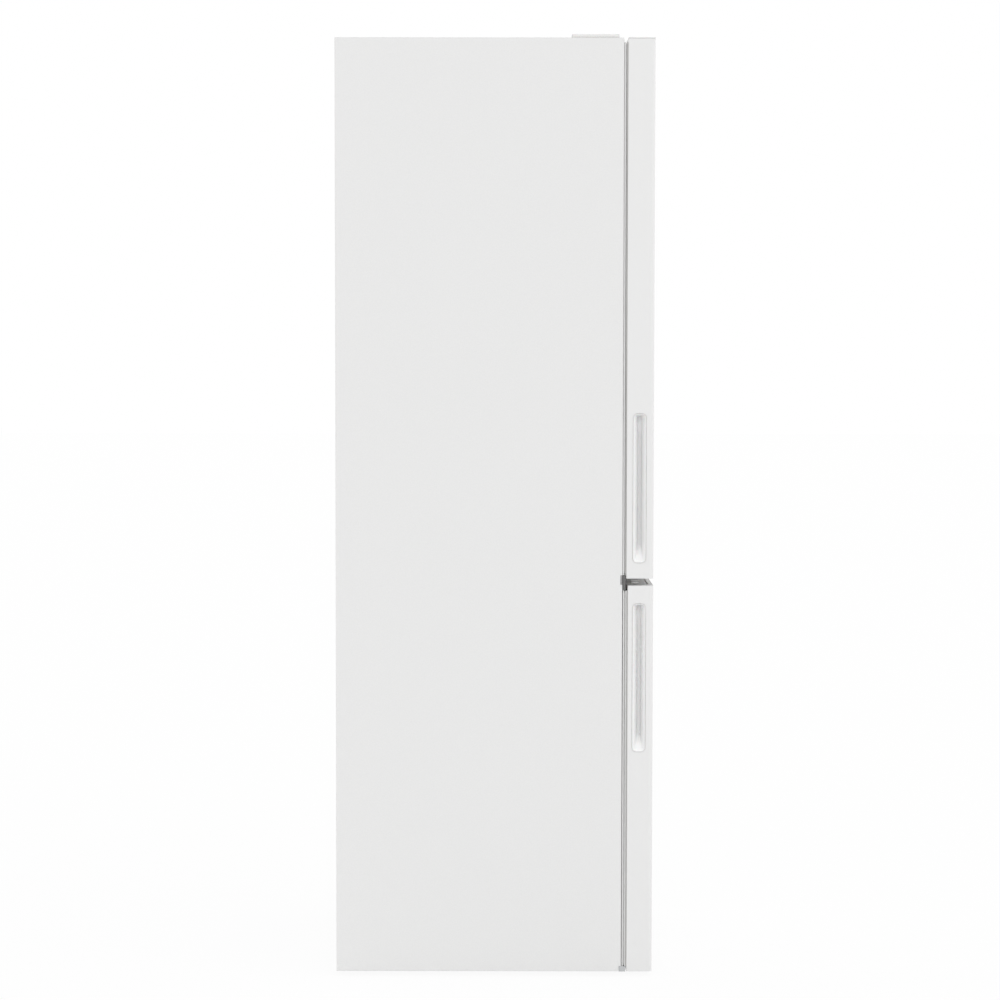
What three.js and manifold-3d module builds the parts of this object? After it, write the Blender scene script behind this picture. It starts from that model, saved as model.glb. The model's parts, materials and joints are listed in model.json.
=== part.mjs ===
// A bottom freezer refrigerator: a foamed steel cabinet with two side-gripped doors, shelves and
// drawers inside, and a compressor room at the back of the base.
// Millimetres. +Z is up, the doors face -Y, and the origin is on the floor under the middle.

import * as THREE from 'three';
import { mergeVertices } from 'three/addons/utils/BufferGeometryUtils.js';
import Module from 'manifold-3d';

const wasm = await Module();
wasm.setup();

// ---------------------------------------------------------------- driving dimensions

// the whole appliance
const WIDTH = 595;
const DEPTH = 635;
const CABINET_HEIGHT = 1866;
const GROUND_GAP = 10;            // floor to the lower edge of the side panels
const SEAT = 0.3;                 // clearance that seated pieces keep to each other
const SHEET = 1;                  // cabinet and door sheet steel
const LINER = 2;                  // vacuum-formed inner liners

// doors
const LOWER_DOOR_HEIGHT = 780;
const DOOR_SLOT = 14;             // height of the slot between the two doors
const DOOR_TOP_DROP = 1;          // the upper door ends this far under the cabinet's top
const UPPER_DOOR_DEPTH = 54.5;
const UPPER_DOOR_GAP = 7.5;       // cabinet face to the rear of the upper door
const LOWER_DOOR_GAP = 10.5;
const DOOR_FRONT_RADIUS = 6;
const DOOR_REAR_RADIUS = 1.5;
const DOOR_RETURN = 12;           // skin folded in behind the door
const END_CAP = 20;
const END_CAP_INSET = 0.6;        // caps lie a little inside the ends of the skin
const DIKE_CLEARANCE = 9;         // raised border of a door liner to the compartment's walls
const DIKE_WIDTH = 14;
const DIKE_DRAFT = 4;
const UPPER_DIKE = 34;
const LOWER_DIKE = 18;

// finger grips sunk in both side faces of each door
const GRIP_LENGTH = 299;
const GRIP_WIDTH = 27;
const GRIP_FROM_FRONT = 15;
const GRIP_CORNER = 9;
const GRIP_DEPTH = 22;
const GRIP_WALL = 1.5;
const GRIP_RIM = 2;
const GRIP_ABOVE_SLOT = 31;       // upper grip, over the lower end of its door
const GRIP_BELOW_SLOT = 36;       // lower grip, under the upper end of its door
const GRIP_GROOVE = 10;           // width of the deep groove that the fingers reach
const GRIP_RUNOUT = 33;           // the groove rises this far at its lower end

// seals
const UPPER_SEAL_INSET = 7;       // from the upper and lower ends of the door
const LOWER_SEAL_INSET = 10;
const SEAL_SIDE_INSET = 1.5;      // on the opening side
const SEAL_HINGE_INSET = 10;      // on the hinge side, where the seal would rub as the door turns
const SEAL_WIDTH = 18;
const SEAL_FOOT = 1.8;
const SEAL_MAGNET = 3.2;          // thickness of the strip that holds the magnet

// hinge line, on the right as the doors are faced
const PIN_INSET = 14;             // pin to the side of the door
const PIN_BEHIND_SKIN = 18;       // pin to the rear of the upper door
const PIN_RADIUS = 5;
const PIN_CLEARANCE = 0.4;
const BOSS_RADIUS = 9;
const ARM_RADIUS = 8.5;
const HINGE_PLATE = 3;
const MID_ARM = 4;

// cabinet walls and compartments
const SIDE_WALL = 50;
const TOP_WALL = 55;
const FRIDGE_BACK_WALL = 65;
const FREEZER_BACK_WALL = 85;
const FACE_FLANGE = 24;           // painted face of the side and top sheet
const REAR_FLANGE = 10;
const FACE_RADIUS = 2;
const MULLION_BELOW_SLOT = 32;    // wall between the compartments, under and over the door slot
const MULLION_ABOVE_SLOT = 32;
const NOTCH_HEIGHT = 19;          // notch for the hinge plate in both face flanges
const NOTCH_DEPTH = 4;
const FREEZER_FLOOR = 95;
const LINER_CORNER = 12;
const RIB_DEPTH = 8;              // shelf and drawer runners moulded in the liners
const RIB_HEIGHT = 8;

// base and machine room
const BASE_RISE = 22;             // side panel edge to the underside of the base plate
const BASE_SHEET = 1.5;
const RAIL_SHEET = 1.2;
const RAIL_REACH = 56;
const EAR_HEIGHT = 10;            // ear of the rail that fills the corner on the opening side
const EAR_REACH = 8.5;
const EAR_NOTCH = 4.2;
const ROOM_HEIGHT = 270;          // floor to the roof of the machine room
const ROOM_DEPTH = 199;
const STEP_WALL = 50;             // foam between the machine room and the freezer
const BACK_SHEET = 1;

// fridge compartment
const SHELF_COUNT = 2;
const SHELF_SETBACK = 121.5;      // cabinet face to the shelves
const SHELF_BACK_GAP = 22.5;      // room for the air duct behind the shelves
const GLASS = 4;
const SHELF_RIM = 8;              // frame round the glass
const SHELF_FRAME_HEIGHT = 14;
const SHELF_SIDE_CLEARANCE = 1;

// drawers
const TUB_WALL = 2.2;
const TUB_DRAFT = 6;
const DRAWER_FRONT = 12;
const DRAWER_SIDE_CLEARANCE = 2;
const DRAWER_LIP = 6;
const CRISPER_HEIGHT = 172;
const CRISPER_FLOOR_GAP = 1;
const CRISPER_HEADROOM = 13;      // drawer to the frame of its glass cover
const CRISPER_FRONT_REACH = 5;    // the drawer's front stands this far ahead of the shelves
const CRISPER_BACK_GAP = 6;
const DRAWER_SETBACK = 34.5;      // cabinet face to the freezer drawers
const DRAWER_BACK_GAP = 26;       // freezer drawers to the air cover
const DRAWER_FLOOR_GAP = 4;
const DRAWER_GAP = 22;            // between one freezer drawer and the next
const LOW_DRAWER_BACK_GAP = 16.5; // the lowest drawer stops ahead of the step over the machine room
const STEP_HEADROOM = 11;         // step to the floor of the drawer over it

// door bins
const BOTTLE_BIN_HEIGHT = 112;
const BIN_HEIGHT = 84;
const BIN_COUNT = 3;
const BIN_FLOOR_GAP = 9;          // lowest bin to the dike under it
const BIN_REACH = 106;
const BIN_WALL = 2.4;

// machine room
const COMPRESSOR_RADIUS = 74;
const COMPRESSOR_HEIGHT = 166;
const COMPRESSOR_FROM_SIDE = 202.5;
const CONDENSER_FROM_SIDE = 75.5;
const CONDENSER_GAP = 65;         // condenser to the shell of the compressor
const MACHINE_FROM_BACK = 95.5;   // middle of the compressor and the condenser
const TRAY_LEVEL = 36;            // upper face of the compressor plate
const TRAY_SHEET = 2;
const GROMMET = 12;
const ROLLER_RADIUS = 16;
const ROLLER_WIDTH = 18;
const AXLE_RADIUS = 4;
const RUNNER_INSET = 57.5;        // rollers and feet, from the sides
const ROLLER_FROM_BACK = 45.5;
const FOOT_SETBACK = 31.5;
const FOOT_RADIUS = 15;
const STEM_RADIUS = 5;

// freezer back: air cover, fan and evaporator
const EVAPORATOR_ROOM = 56.5;     // depth behind the face of the air cover
const EVAPORATOR_SIDE_GAP = 57.5;
const FIN_SIDE_GAP = 30;          // bare tube at both ends of the fins
const FIN_DEPTH = 34;
const AIR_COVER = 2.5;
const FAN_RADIUS = 46;
const FAN_CLEARANCE = 3;
const FAN_FROM_CEILING = 82;
const FAN_BLADES = 7;
const SHAFT_RADIUS = 2.5;

// ceiling controls of the fridge compartment
const CONTROL_WIDTH = 230;
const CONTROL_DEPTH = 110;
const CONTROL_HEIGHT = 46;
const CONTROL_BEHIND_SHELF = 7;   // its front lies this far behind the shelves' front
const DUCT_HALF_WIDTH = 105;
const DUCT_OUTLET_X = 70;
const DUCT_OUTLET_RISE = 90;      // outlets over each shelf
const KNOB_RADIUS = 17;
const KNOB_DEPTH = 15;
const KNOB_X = 78;

// hinge covers on the cabinet's top
const COVER_LENGTH = 95;
const COVER_WIDTH = 58;
const COVER_HEIGHT = 8;
const COVER_CHAMFER = 1;
const COVER_CORNER = 3;
const COVER_REACH = 104;          // cabinet face to the rear ends of the covers
const COVER_INSET = 6;
const HINGE_COVER_INSET = 2;      // the cover over the real hinge stands closer to the side
const COVER_WALL = 1.8;

// ---------------------------------------------------------------- derived places

const HALF = WIDTH / 2;
const FRONT = -DEPTH / 2;
const BACK = DEPTH / 2;
const BASE = GROUND_GAP;
const TOP = BASE + CABINET_HEIGHT;
const UPPER_REAR = FRONT + UPPER_DOOR_DEPTH;
const FACE = UPPER_REAR + UPPER_DOOR_GAP;
const LOWER_REAR = FACE - LOWER_DOOR_GAP;
const SLOT_LOW = BASE + LOWER_DOOR_HEIGHT;
const SLOT_HIGH = SLOT_LOW + DOOR_SLOT;
const INNER = HALF - SIDE_WALL;
const FRIDGE_LOW = SLOT_HIGH + MULLION_ABOVE_SLOT;
const FRIDGE_HIGH = TOP - TOP_WALL;
const FRIDGE_BACK = BACK - FRIDGE_BACK_WALL;
const FREEZER_HIGH = SLOT_LOW - MULLION_BELOW_SLOT;
const FREEZER_BACK = BACK - FREEZER_BACK_WALL;
const ROOM_FRONT = BACK - ROOM_DEPTH;
const STEP_FRONT = ROOM_FRONT - STEP_WALL;
const STEP_TOP = ROOM_HEIGHT + STEP_WALL;
const BASE_PLATE_LOW = BASE + BASE_RISE;
const BACK_PANEL_FACE = BACK - SHEET - SEAT;
const PIN_X = HALF - PIN_INSET;
const PIN_Y = UPPER_REAR - PIN_BEHIND_SKIN;
const MID_ARM_LOW = (SLOT_LOW + SLOT_HIGH - MID_ARM) / 2;
const BOTTOM_ARM_HIGH = BASE - 1;
const LINER_SPAN = HALF - FACE_FLANGE - SEAT;
const BORE_RADIUS = PIN_RADIUS + PIN_CLEARANCE;
const COVER_BACK = FACE + COVER_REACH;

const SHELF_FRONT = FACE + SHELF_SETBACK;
const SHELF_BACK = FRIDGE_BACK - SHELF_BACK_GAP;
const CONTROL_FRONT = SHELF_FRONT + CONTROL_BEHIND_SHELF;
const CONTROL_LOW = FRIDGE_HIGH - SEAT - CONTROL_HEIGHT;
const KNOB_LEVEL = CONTROL_LOW + CONTROL_HEIGHT / 2;
const CRISPER_FLOOR = FRIDGE_LOW + CRISPER_FLOOR_GAP;
const CRISPER_COVER_LEVEL = CRISPER_FLOOR + CRISPER_HEIGHT + CRISPER_HEADROOM + SHELF_FRAME_HEIGHT;
const SHELF_PITCH = (CONTROL_LOW - CRISPER_COVER_LEVEL) / (SHELF_COUNT + 1);
const SHELF_LEVELS = Array.from(
  { length: SHELF_COUNT },
  (_, i) => CRISPER_COVER_LEVEL + (i + 1) * SHELF_PITCH,
);

const AIR_COVER_FRONT = FREEZER_BACK - EVAPORATOR_ROOM;
const FAN_LEVEL = FREEZER_HIGH - FAN_FROM_CEILING;
const DRAWER_FACE = FACE + DRAWER_SETBACK;
const MIDDLE_DRAWER_FLOOR = STEP_TOP + STEP_HEADROOM;
const DRAWER_HEIGHT = (FREEZER_HIGH - MIDDLE_DRAWER_FLOOR) / 2 - DRAWER_GAP;
const FREEZER_DRAWERS = [
  {
    name: 'low_freezer_drawer',
    floor: FREEZER_FLOOR + DRAWER_FLOOR_GAP,
    high: MIDDLE_DRAWER_FLOOR - DRAWER_GAP,
    rear: STEP_FRONT - LOW_DRAWER_BACK_GAP,
  },
  {
    name: 'middle_freezer_drawer',
    floor: MIDDLE_DRAWER_FLOOR,
    high: MIDDLE_DRAWER_FLOOR + DRAWER_HEIGHT,
    rear: AIR_COVER_FRONT - DRAWER_BACK_GAP,
  },
  {
    name: 'high_freezer_drawer',
    floor: MIDDLE_DRAWER_FLOOR + DRAWER_HEIGHT + DRAWER_GAP,
    high: MIDDLE_DRAWER_FLOOR + 2 * DRAWER_HEIGHT + DRAWER_GAP,
    rear: AIR_COVER_FRONT - DRAWER_BACK_GAP,
  },
];

const RUNNER_X = HALF - RUNNER_INSET;
const ROLLER_Y = BACK - ROLLER_FROM_BACK;
const FOOT_Y = FACE + FOOT_SETBACK;
const MACHINE_Y = BACK - MACHINE_FROM_BACK;
const COMPRESSOR_X = HALF - COMPRESSOR_FROM_SIDE;

// ---------------------------------------------------------------- shape helpers

function toSolid(geometry) {
  const bare = new THREE.BufferGeometry();
  bare.setAttribute('position', geometry.getAttribute('position'));
  if (geometry.index) bare.setIndex(geometry.index);
  const merged = mergeVertices(bare, 1e-4);
  const triangles = [];
  const index = merged.index.array;
  for (let i = 0; i < index.length; i += 3) {
    const [a, b, c] = [index[i], index[i + 1], index[i + 2]];
    if (a !== b && b !== c && c !== a) triangles.push(a, b, c);
  }
  const vertProperties = new Float32Array(merged.getAttribute('position').array);
  if (signedVolume(vertProperties, triangles) < 0) triangles.reverse();
  const triVerts = new Uint32Array(triangles);
  return new wasm.Manifold(new wasm.Mesh({ numProp: 3, vertProperties, triVerts }));
}

function signedVolume(points, triangles) {
  const at = (i) => new THREE.Vector3(points[3 * i], points[3 * i + 1], points[3 * i + 2]);
  let volume = 0;
  for (let i = 0; i < triangles.length; i += 3) {
    const [a, b, c] = [at(triangles[i]), at(triangles[i + 1]), at(triangles[i + 2])];
    volume += a.dot(b.cross(c)) / 6;
  }
  return volume;
}

function toGeometry(solid) {
  const mesh = solid.getMesh();
  const geometry = new THREE.BufferGeometry();
  geometry.setAttribute('position', new THREE.BufferAttribute(mesh.vertProperties, 3));
  geometry.setIndex(new THREE.BufferAttribute(mesh.triVerts, 1));
  geometry.computeVertexNormals();
  return geometry;
}

const join = (first, ...others) => others.reduce((sum, next) => sum.add(next), first);
const cut = (first, ...tools) => tools.reduce((rest, tool) => rest.subtract(tool), first);

function box(x0, x1, y0, y1, z0, z1) {
  const geometry = new THREE.BoxGeometry(x1 - x0, y1 - y0, z1 - z0);
  geometry.translate((x0 + x1) / 2, (y0 + y1) / 2, (z0 + z1) / 2);
  return toSolid(geometry);
}

// how a flat outline (u, v) and its depth w lie in the model
const FACING = {
  x: (u, v, w) => new THREE.Vector3(w, u, v),
  y: (u, v, w) => new THREE.Vector3(u, w, v),
  z: (u, v, w) => new THREE.Vector3(u, v, w),
};

// an outline pushed from one depth to another along an axis
function prism(points, axis, from, to) {
  const shape = new THREE.Shape(points.map((p) => new THREE.Vector2(...p)));
  const geometry = new THREE.ExtrudeGeometry(shape, { depth: to - from, bevelEnabled: false });
  const position = geometry.getAttribute('position');
  for (let i = 0; i < position.count; i++) {
    const p = FACING[axis](position.getX(i), position.getY(i), position.getZ(i) + from);
    position.setXYZ(i, p.x, p.y, p.z);
  }
  return toSolid(geometry);
}

function disc(radius, axis, centre, from, to, sides = 20) {
  const turn = (2 * Math.PI) / sides;
  const points = [];
  for (let i = 0; i < sides; i++) {
    points.push([centre[0] + radius * Math.cos(i * turn), centre[1] + radius * Math.sin(i * turn)]);
  }
  return prism(points, axis, from, to);
}

// corner points of a rounded rectangle, anticlockwise
function roundedOutline(u0, u1, v0, v1, radius, steps = 4) {
  const corners = [[u1, v1, 0], [u0, v1, 1], [u0, v0, 2], [u1, v0, 3]];
  const points = [];
  for (const [u, v, quarter] of corners) {
    const cu = u + (u === u1 ? -radius : radius);
    const cv = v + (v === v1 ? -radius : radius);
    for (let i = 0; i <= steps; i++) {
      const angle = ((quarter + i / steps) * Math.PI) / 2;
      points.push([cu + radius * Math.cos(angle), cv + radius * Math.sin(angle)]);
    }
  }
  return points;
}

// a closed skin over rings with equal numbers of points; the first and last are filled in
function loft(rings) {
  const count = rings[0].length;
  const index = [];
  for (let r = 0; r + 1 < rings.length; r++) {
    for (let i = 0; i < count; i++) {
      const j = (i + 1) % count;
      const [a, b, c, d] = [r * count + i, r * count + j, (r + 1) * count + j, (r + 1) * count + i];
      index.push(a, b, c, a, c, d);
    }
  }
  const last = (rings.length - 1) * count;
  for (let i = 1; i + 1 < count; i++) {
    index.push(0, i + 1, i, last, last + i, last + i + 1);
  }
  return fromPoints(rings.flat(), index);
}

function fromPoints(points, index) {
  const geometry = new THREE.BufferGeometry().setFromPoints(points);
  geometry.setIndex(index);
  return toSolid(geometry);
}

// a profile of [inset, y] points carried round a door or cabinet edge with mitred corners;
// an open frame leaves out the lower side
function sweepFrame(profile, edge, open = false) {
  const stations = [[-1, 0], [-1, 1], [1, 1], [1, 0]];
  const points = [];
  for (const [side, upper] of stations) {
    for (const [inset, y] of profile) {
      const x = side < 0 ? edge.left + inset : edge.right - inset;
      const z = upper ? edge.high - inset : edge.low + (open ? 0 : inset);
      points.push(new THREE.Vector3(x, y, z));
    }
  }
  const count = profile.length;
  const index = [];
  const spans = open ? 3 : 4;
  for (let s = 0; s < spans; s++) {
    const next = (s + 1) % 4;
    for (let i = 0; i < count; i++) {
      const j = (i + 1) % count;
      const [a, b, c, d] = [s * count + i, s * count + j, next * count + j, next * count + i];
      index.push(a, b, c, a, c, d);
    }
  }
  if (open) {
    const outline = profile.map((p) => new THREE.Vector2(...p));
    for (const [a, b, c] of THREE.ShapeUtils.triangulateShape(outline, [])) {
      const clockwise = THREE.ShapeUtils.isClockWise(outline);
      const [p, q] = clockwise ? [b, c] : [c, b];
      index.push(a, p, q, 3 * count + a, 3 * count + q, 3 * count + p);
    }
  }
  return fromPoints(points, index);
}

// an arc of outline points from one angle to another, in degrees
function arc(cu, cv, radius, from, to, steps = 3) {
  const points = [];
  for (let i = 0; i <= steps; i++) {
    const angle = THREE.MathUtils.degToRad(from + ((to - from) * i) / steps);
    points.push([cu + radius * Math.cos(angle), cv + radius * Math.sin(angle)]);
  }
  return points;
}

// a round tube bent along points, with rounded corners
function bentTube(points, radius, bend, sides = 8) {
  const path = new THREE.CurvePath();
  let start = points[0].clone();
  for (let i = 1; i + 1 < points.length; i++) {
    const into = points[i].clone().sub(points[i - 1]).normalize();
    const out = points[i + 1].clone().sub(points[i]).normalize();
    const before = points[i].clone().addScaledVector(into, -bend);
    const after = points[i].clone().addScaledVector(out, bend);
    path.add(new THREE.LineCurve3(start, before));
    path.add(new THREE.QuadraticBezierCurve3(before, points[i], after));
    start = after;
  }
  path.add(new THREE.LineCurve3(start, points[points.length - 1]));
  const rings = [];
  for (const curve of path.curves) {
    const steps = curve instanceof THREE.LineCurve3 ? 1 : 3;
    for (let i = rings.length ? 1 : 0; i <= steps; i++) {
      rings.push({ centre: curve.getPoint(i / steps), along: curve.getTangent(i / steps) });
    }
  }
  let side = new THREE.Vector3(0, 0, 1);
  if (Math.abs(rings[0].along.dot(side)) > 0.9) side = new THREE.Vector3(1, 0, 0);
  return loft(rings.map(({ centre, along }) => {
    side = side.clone().addScaledVector(along, -side.dot(along)).normalize();
    const other = along.clone().cross(side);
    return Array.from({ length: sides }, (_, i) => {
      const angle = (i * 2 * Math.PI) / sides;
      return centre.clone()
        .addScaledVector(side, radius * Math.cos(angle))
        .addScaledVector(other, radius * Math.sin(angle));
    });
  }));
}

// a body turned about the vertical axis through (x, y) from [radius, height] points
function turned(profile, x, y, segments = 24) {
  const points = profile.map(([radius, height]) => new THREE.Vector2(radius, height));
  const geometry = new THREE.LatheGeometry(points, segments);
  geometry.rotateX(Math.PI / 2);
  geometry.translate(x, y, 0);
  return toSolid(geometry);
}

// ---------------------------------------------------------------- materials and assembly

const finish = (color, roughness, metalness = 0, opacity = 1) =>
  new THREE.MeshStandardMaterial({ color, roughness, metalness, opacity, transparent: opacity < 1 });

const FINISH = {
  cabinetPaint: finish(0xe8e8e8, 0.45),
  doorPaint: finish(0xebebeb, 0.4),
  backSheet: finish(0xb8bcbf, 0.5, 0.6),
  linerPlastic: finish(0xf3f3f1, 0.35),
  trimPlastic: finish(0xeeeeec, 0.4),
  foam: finish(0xe6d9a8, 0.9),
  seal: finish(0xbfbfbf, 0.7),
  zinc: finish(0xa9adb0, 0.4, 0.9),
  blackPaint: finish(0x1c1c1e, 0.5),
  aluminium: finish(0xc9cccf, 0.4, 0.9),
  blackRubber: finish(0x222222, 0.8),
  greyPlastic: finish(0x8b8f92, 0.5),
  clearPlastic: finish(0xdde6ea, 0.15, 0, 0.5),
  glass: finish(0xd8ebe6, 0.05, 0, 0.35),
  lens: finish(0xf8f6ee, 0.3, 0, 0.8),
};

const refrigerator = new THREE.Group();
const bodies = {};

function addPart(bodyName, name, solid, material) {
  if (!bodies[bodyName]) {
    bodies[bodyName] = new THREE.Group();
    refrigerator.add(bodies[bodyName]);
  }
  const mesh = new THREE.Mesh(toGeometry(solid), material);
  mesh.name = name;
  bodies[bodyName].add(mesh);
}

// ---------------------------------------------------------------- cabinet shell

// side and top sheet in one bent piece, with a rounded face flange and a flange at the back
function outerWrapper() {
  const profile = [
    ...arc(FACE_RADIUS, FACE + FACE_RADIUS, FACE_RADIUS, 180, 270),
    [FACE_FLANGE, FACE],
    [FACE_FLANGE, FACE + SHEET],
    ...arc(FACE_RADIUS, FACE + FACE_RADIUS, FACE_RADIUS - SHEET, 270, 180),
    [SHEET, BACK - SHEET],
    [REAR_FLANGE, BACK - SHEET],
    [REAR_FLANGE, BACK],
    [0, BACK],
  ];
  const sheet = sweepFrame(profile, { left: -HALF, right: HALF, low: BASE, high: TOP }, true);
  const middle = (SLOT_LOW + SLOT_HIGH) / 2 + MID_ARM;
  const notch = (side, depth, low, high) => {
    const x = [side * (HALF + SHEET), side * (HALF - FACE_FLANGE - SHEET)].sort((a, b) => a - b);
    return box(...x, FACE - SHEET, FACE + depth, low, high);
  };
  return cut(
    sheet,
    notch(-1, NOTCH_DEPTH, middle - NOTCH_HEIGHT / 2, middle + NOTCH_HEIGHT / 2),
    notch(1, NOTCH_DEPTH, middle - NOTCH_HEIGHT / 2, middle + NOTCH_HEIGHT / 2),
    notch(-1, EAR_NOTCH + SEAT, BASE - 1, BASE + EAR_HEIGHT + SEAT),
  );
}

function backPanel() {
  const half = HALF - SHEET - SEAT;
  const low = ROOM_HEIGHT + BASE_SHEET + SEAT;
  const high = TOP - SHEET - SEAT;
  const sheet = box(-half, half, BACK_PANEL_FACE - BACK_SHEET, BACK_PANEL_FACE, low, high);
  const beads = [];
  const beadCount = 5;
  for (let i = 0; i < beadCount; i++) {
    const level = low + ((i + 1) * (high - low)) / (beadCount + 1);
    const outline = roundedOutline(-half + 45, half - 45, level - 9, level + 9, 8.9, 3);
    const ring = (inset, y) => roundedOutline(
      -half + 45 + inset, half - 45 - inset, level - 9 + inset, level + 9 - inset, 8.9 - inset, 3,
    ).map(([x, z]) => new THREE.Vector3(x, y, z));
    beads.push(loft([
      outline.map(([x, z]) => new THREE.Vector3(x, BACK_PANEL_FACE - BACK_SHEET / 2, z)),
      ring(0, BACK_PANEL_FACE),
      ring(3, BACK_PANEL_FACE + SHEET),
    ]));
  }
  return join(sheet, ...beads);
}

// base plate with the step that makes room for the compressor
function basePlate() {
  const half = HALF - SHEET - SEAT;
  const z = BASE_PLATE_LOW;
  const front = FACE + FACE_RADIUS;
  const rear = BACK_PANEL_FACE;
  return prism([
    [front, z],
    [ROOM_FRONT, z],
    [ROOM_FRONT, ROOM_HEIGHT],
    [rear, ROOM_HEIGHT],
    [rear, ROOM_HEIGHT + BASE_SHEET],
    [ROOM_FRONT - BASE_SHEET, ROOM_HEIGHT + BASE_SHEET],
    [ROOM_FRONT - BASE_SHEET, z + BASE_SHEET],
    [front, z + BASE_SHEET],
  ], 'x', -half, half);
}

// steel rail under the freezer door: it covers the foam and carries the feet
function bottomRail() {
  const high = FREEZER_FLOOR - LINER - SEAT;
  const low = BASE - 0.7;
  const rear = FACE + RAIL_REACH;
  const channel = prism([
    [FACE, low],
    [rear, low],
    [rear, BASE_PLATE_LOW - SEAT],
    [rear - RAIL_SHEET, BASE_PLATE_LOW - SEAT],
    [rear - RAIL_SHEET, low + RAIL_SHEET],
    [FACE + RAIL_SHEET, low + RAIL_SHEET],
    [FACE + RAIL_SHEET, high],
    [FACE, high],
  ], 'x', -LINER_SPAN, LINER_SPAN);
  const ear = box(
    -HALF + SHEET, -LINER_SPAN + 1,
    FACE - EAR_REACH, FACE + EAR_NOTCH,
    low, BASE + EAR_HEIGHT,
  );
  const stemHole = (side) =>
    disc(STEM_RADIUS + SEAT, 'z', [side * RUNNER_X, FOOT_Y], low - 1, low + RAIL_SHEET + 1, 16);
  return cut(join(channel, ear), stemHole(-1), stemHole(1));
}

// channel on the face of the wall between the compartments; its ends show in the notches
function mullionTrim() {
  const low = FREEZER_HIGH + LINER + SEAT;
  const high = FRIDGE_LOW - LINER - SEAT;
  const lip = 10;
  const channel = prism([
    [FACE, low],
    [FACE, high],
    [FACE + lip, high],
    [FACE + lip, high - SHEET],
    [FACE + SHEET, high - SHEET],
    [FACE + SHEET, low + SHEET],
    [FACE + lip, low + SHEET],
    [FACE + lip, low],
  ], 'x', -LINER_SPAN, LINER_SPAN);
  const strapRear = FACE + NOTCH_DEPTH + SHEET;
  const strap = box(
    -(HALF - SHEET - SEAT), HALF - SHEET - SEAT,
    strapRear - SHEET, strapRear,
    SLOT_LOW - 4, SLOT_HIGH + 12,
  );
  const webs = [-1, 1].map((side) => {
    const x = side * (LINER_SPAN - 7);
    return box(x - SHEET, x + SHEET, FACE + SHEET / 2, strapRear, SLOT_LOW, SLOT_HIGH);
  });
  return join(channel, strap, ...webs);
}

// ---------------------------------------------------------------- foam and liners

const fridgeOutline = (grow) => roundedOutline(
  -INNER - grow, INNER + grow, FRIDGE_LOW - grow, FRIDGE_HIGH + grow, LINER_CORNER + grow, 3,
);

// side view of the freezer compartment, stepped over the machine room
const freezerSection = (grow, front) => [
  [front, FREEZER_FLOOR - grow],
  [STEP_FRONT + grow, FREEZER_FLOOR - grow],
  [STEP_FRONT + grow, STEP_TOP - grow],
  [FREEZER_BACK + grow, STEP_TOP - grow],
  [FREEZER_BACK + grow, FREEZER_HIGH + grow],
  [front, FREEZER_HIGH + grow],
];

function cabinetFoam() {
  const half = HALF - SHEET - SEAT;
  const front = FACE + LINER + SEAT;
  const floor = BASE_PLATE_LOW + BASE_SHEET + SEAT;
  const rear = BACK_PANEL_FACE - BACK_SHEET - SEAT;
  const block = prism([
    [front, floor],
    [ROOM_FRONT - BASE_SHEET - SEAT, floor],
    [ROOM_FRONT - BASE_SHEET - SEAT, ROOM_HEIGHT + BASE_SHEET + SEAT],
    [rear, ROOM_HEIGHT + BASE_SHEET + SEAT],
    [rear, TOP - SHEET - SEAT],
    [front, TOP - SHEET - SEAT],
  ], 'x', -half, half);
  const grow = LINER + SEAT;
  const fridge = prism(fridgeOutline(grow), 'y', front - 1, FRIDGE_BACK + grow);
  const freezer = prism(freezerSection(grow, front - 1), 'x', -INNER - grow, INNER + grow);
  const trimRoom = box(-half - 1, half + 1, front - 1, FACE + 11, FREEZER_HIGH - 1, FRIDGE_LOW + 1);
  return cut(block, fridge, freezer, trimRoom);
}

// runners on both side walls, from the front to the back of what they carry
function runners(levels, front, rear, depth = RIB_DEPTH) {
  const ribs = [];
  for (const level of levels) {
    for (const side of [-1, 1]) {
      const x = [side * (INNER + LINER / 2), side * (INNER - depth)].sort((a, b) => a - b);
      ribs.push(box(...x, front, rear, level - RIB_HEIGHT, level));
    }
  }
  return ribs;
}

function fridgeLiner() {
  const shell = prism(fridgeOutline(LINER), 'y', FACE + LINER, FRIDGE_BACK + LINER);
  const flange = box(
    -LINER_SPAN, LINER_SPAN, FACE, FACE + LINER,
    FRIDGE_LOW - LINER, TOP - FACE_FLANGE - SEAT,
  );
  const cavity = prism(fridgeOutline(0), 'y', FACE - 1, FRIDGE_BACK);
  const seats = [...SHELF_LEVELS, CRISPER_COVER_LEVEL].map((level) => level - SHELF_FRAME_HEIGHT - SEAT);
  return join(cut(join(shell, flange), cavity), ...runners(seats, SHELF_FRONT + 10, SHELF_BACK));
}

function freezerLiner() {
  const shell = prism(freezerSection(LINER, FACE + LINER), 'x', -INNER - LINER, INNER + LINER);
  const flange = box(
    -LINER_SPAN, LINER_SPAN, FACE, FACE + LINER,
    FREEZER_FLOOR - LINER, FREEZER_HIGH + LINER,
  );
  const cavity = prism(freezerSection(0, FACE - 1), 'x', -INNER, INNER);
  const ledges = FREEZER_DRAWERS.map(({ high, rear }) => runners(
    [high - 3 * TUB_WALL - SEAT], DRAWER_FACE + DRAWER_FRONT + 8, rear, RIB_DEPTH + DRAWER_LIP / 2,
  ));
  return join(cut(join(shell, flange), cavity), ...ledges.flat());
}

// ---------------------------------------------------------------- hinges and their covers

// rounded arm from y back to the pin, seen from above
function armOutline(backEdge) {
  return [
    [PIN_X + ARM_RADIUS, backEdge],
    [PIN_X - ARM_RADIUS, backEdge],
    ...arc(PIN_X, PIN_Y, ARM_RADIUS, 180, 360, 8),
  ];
}

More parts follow.
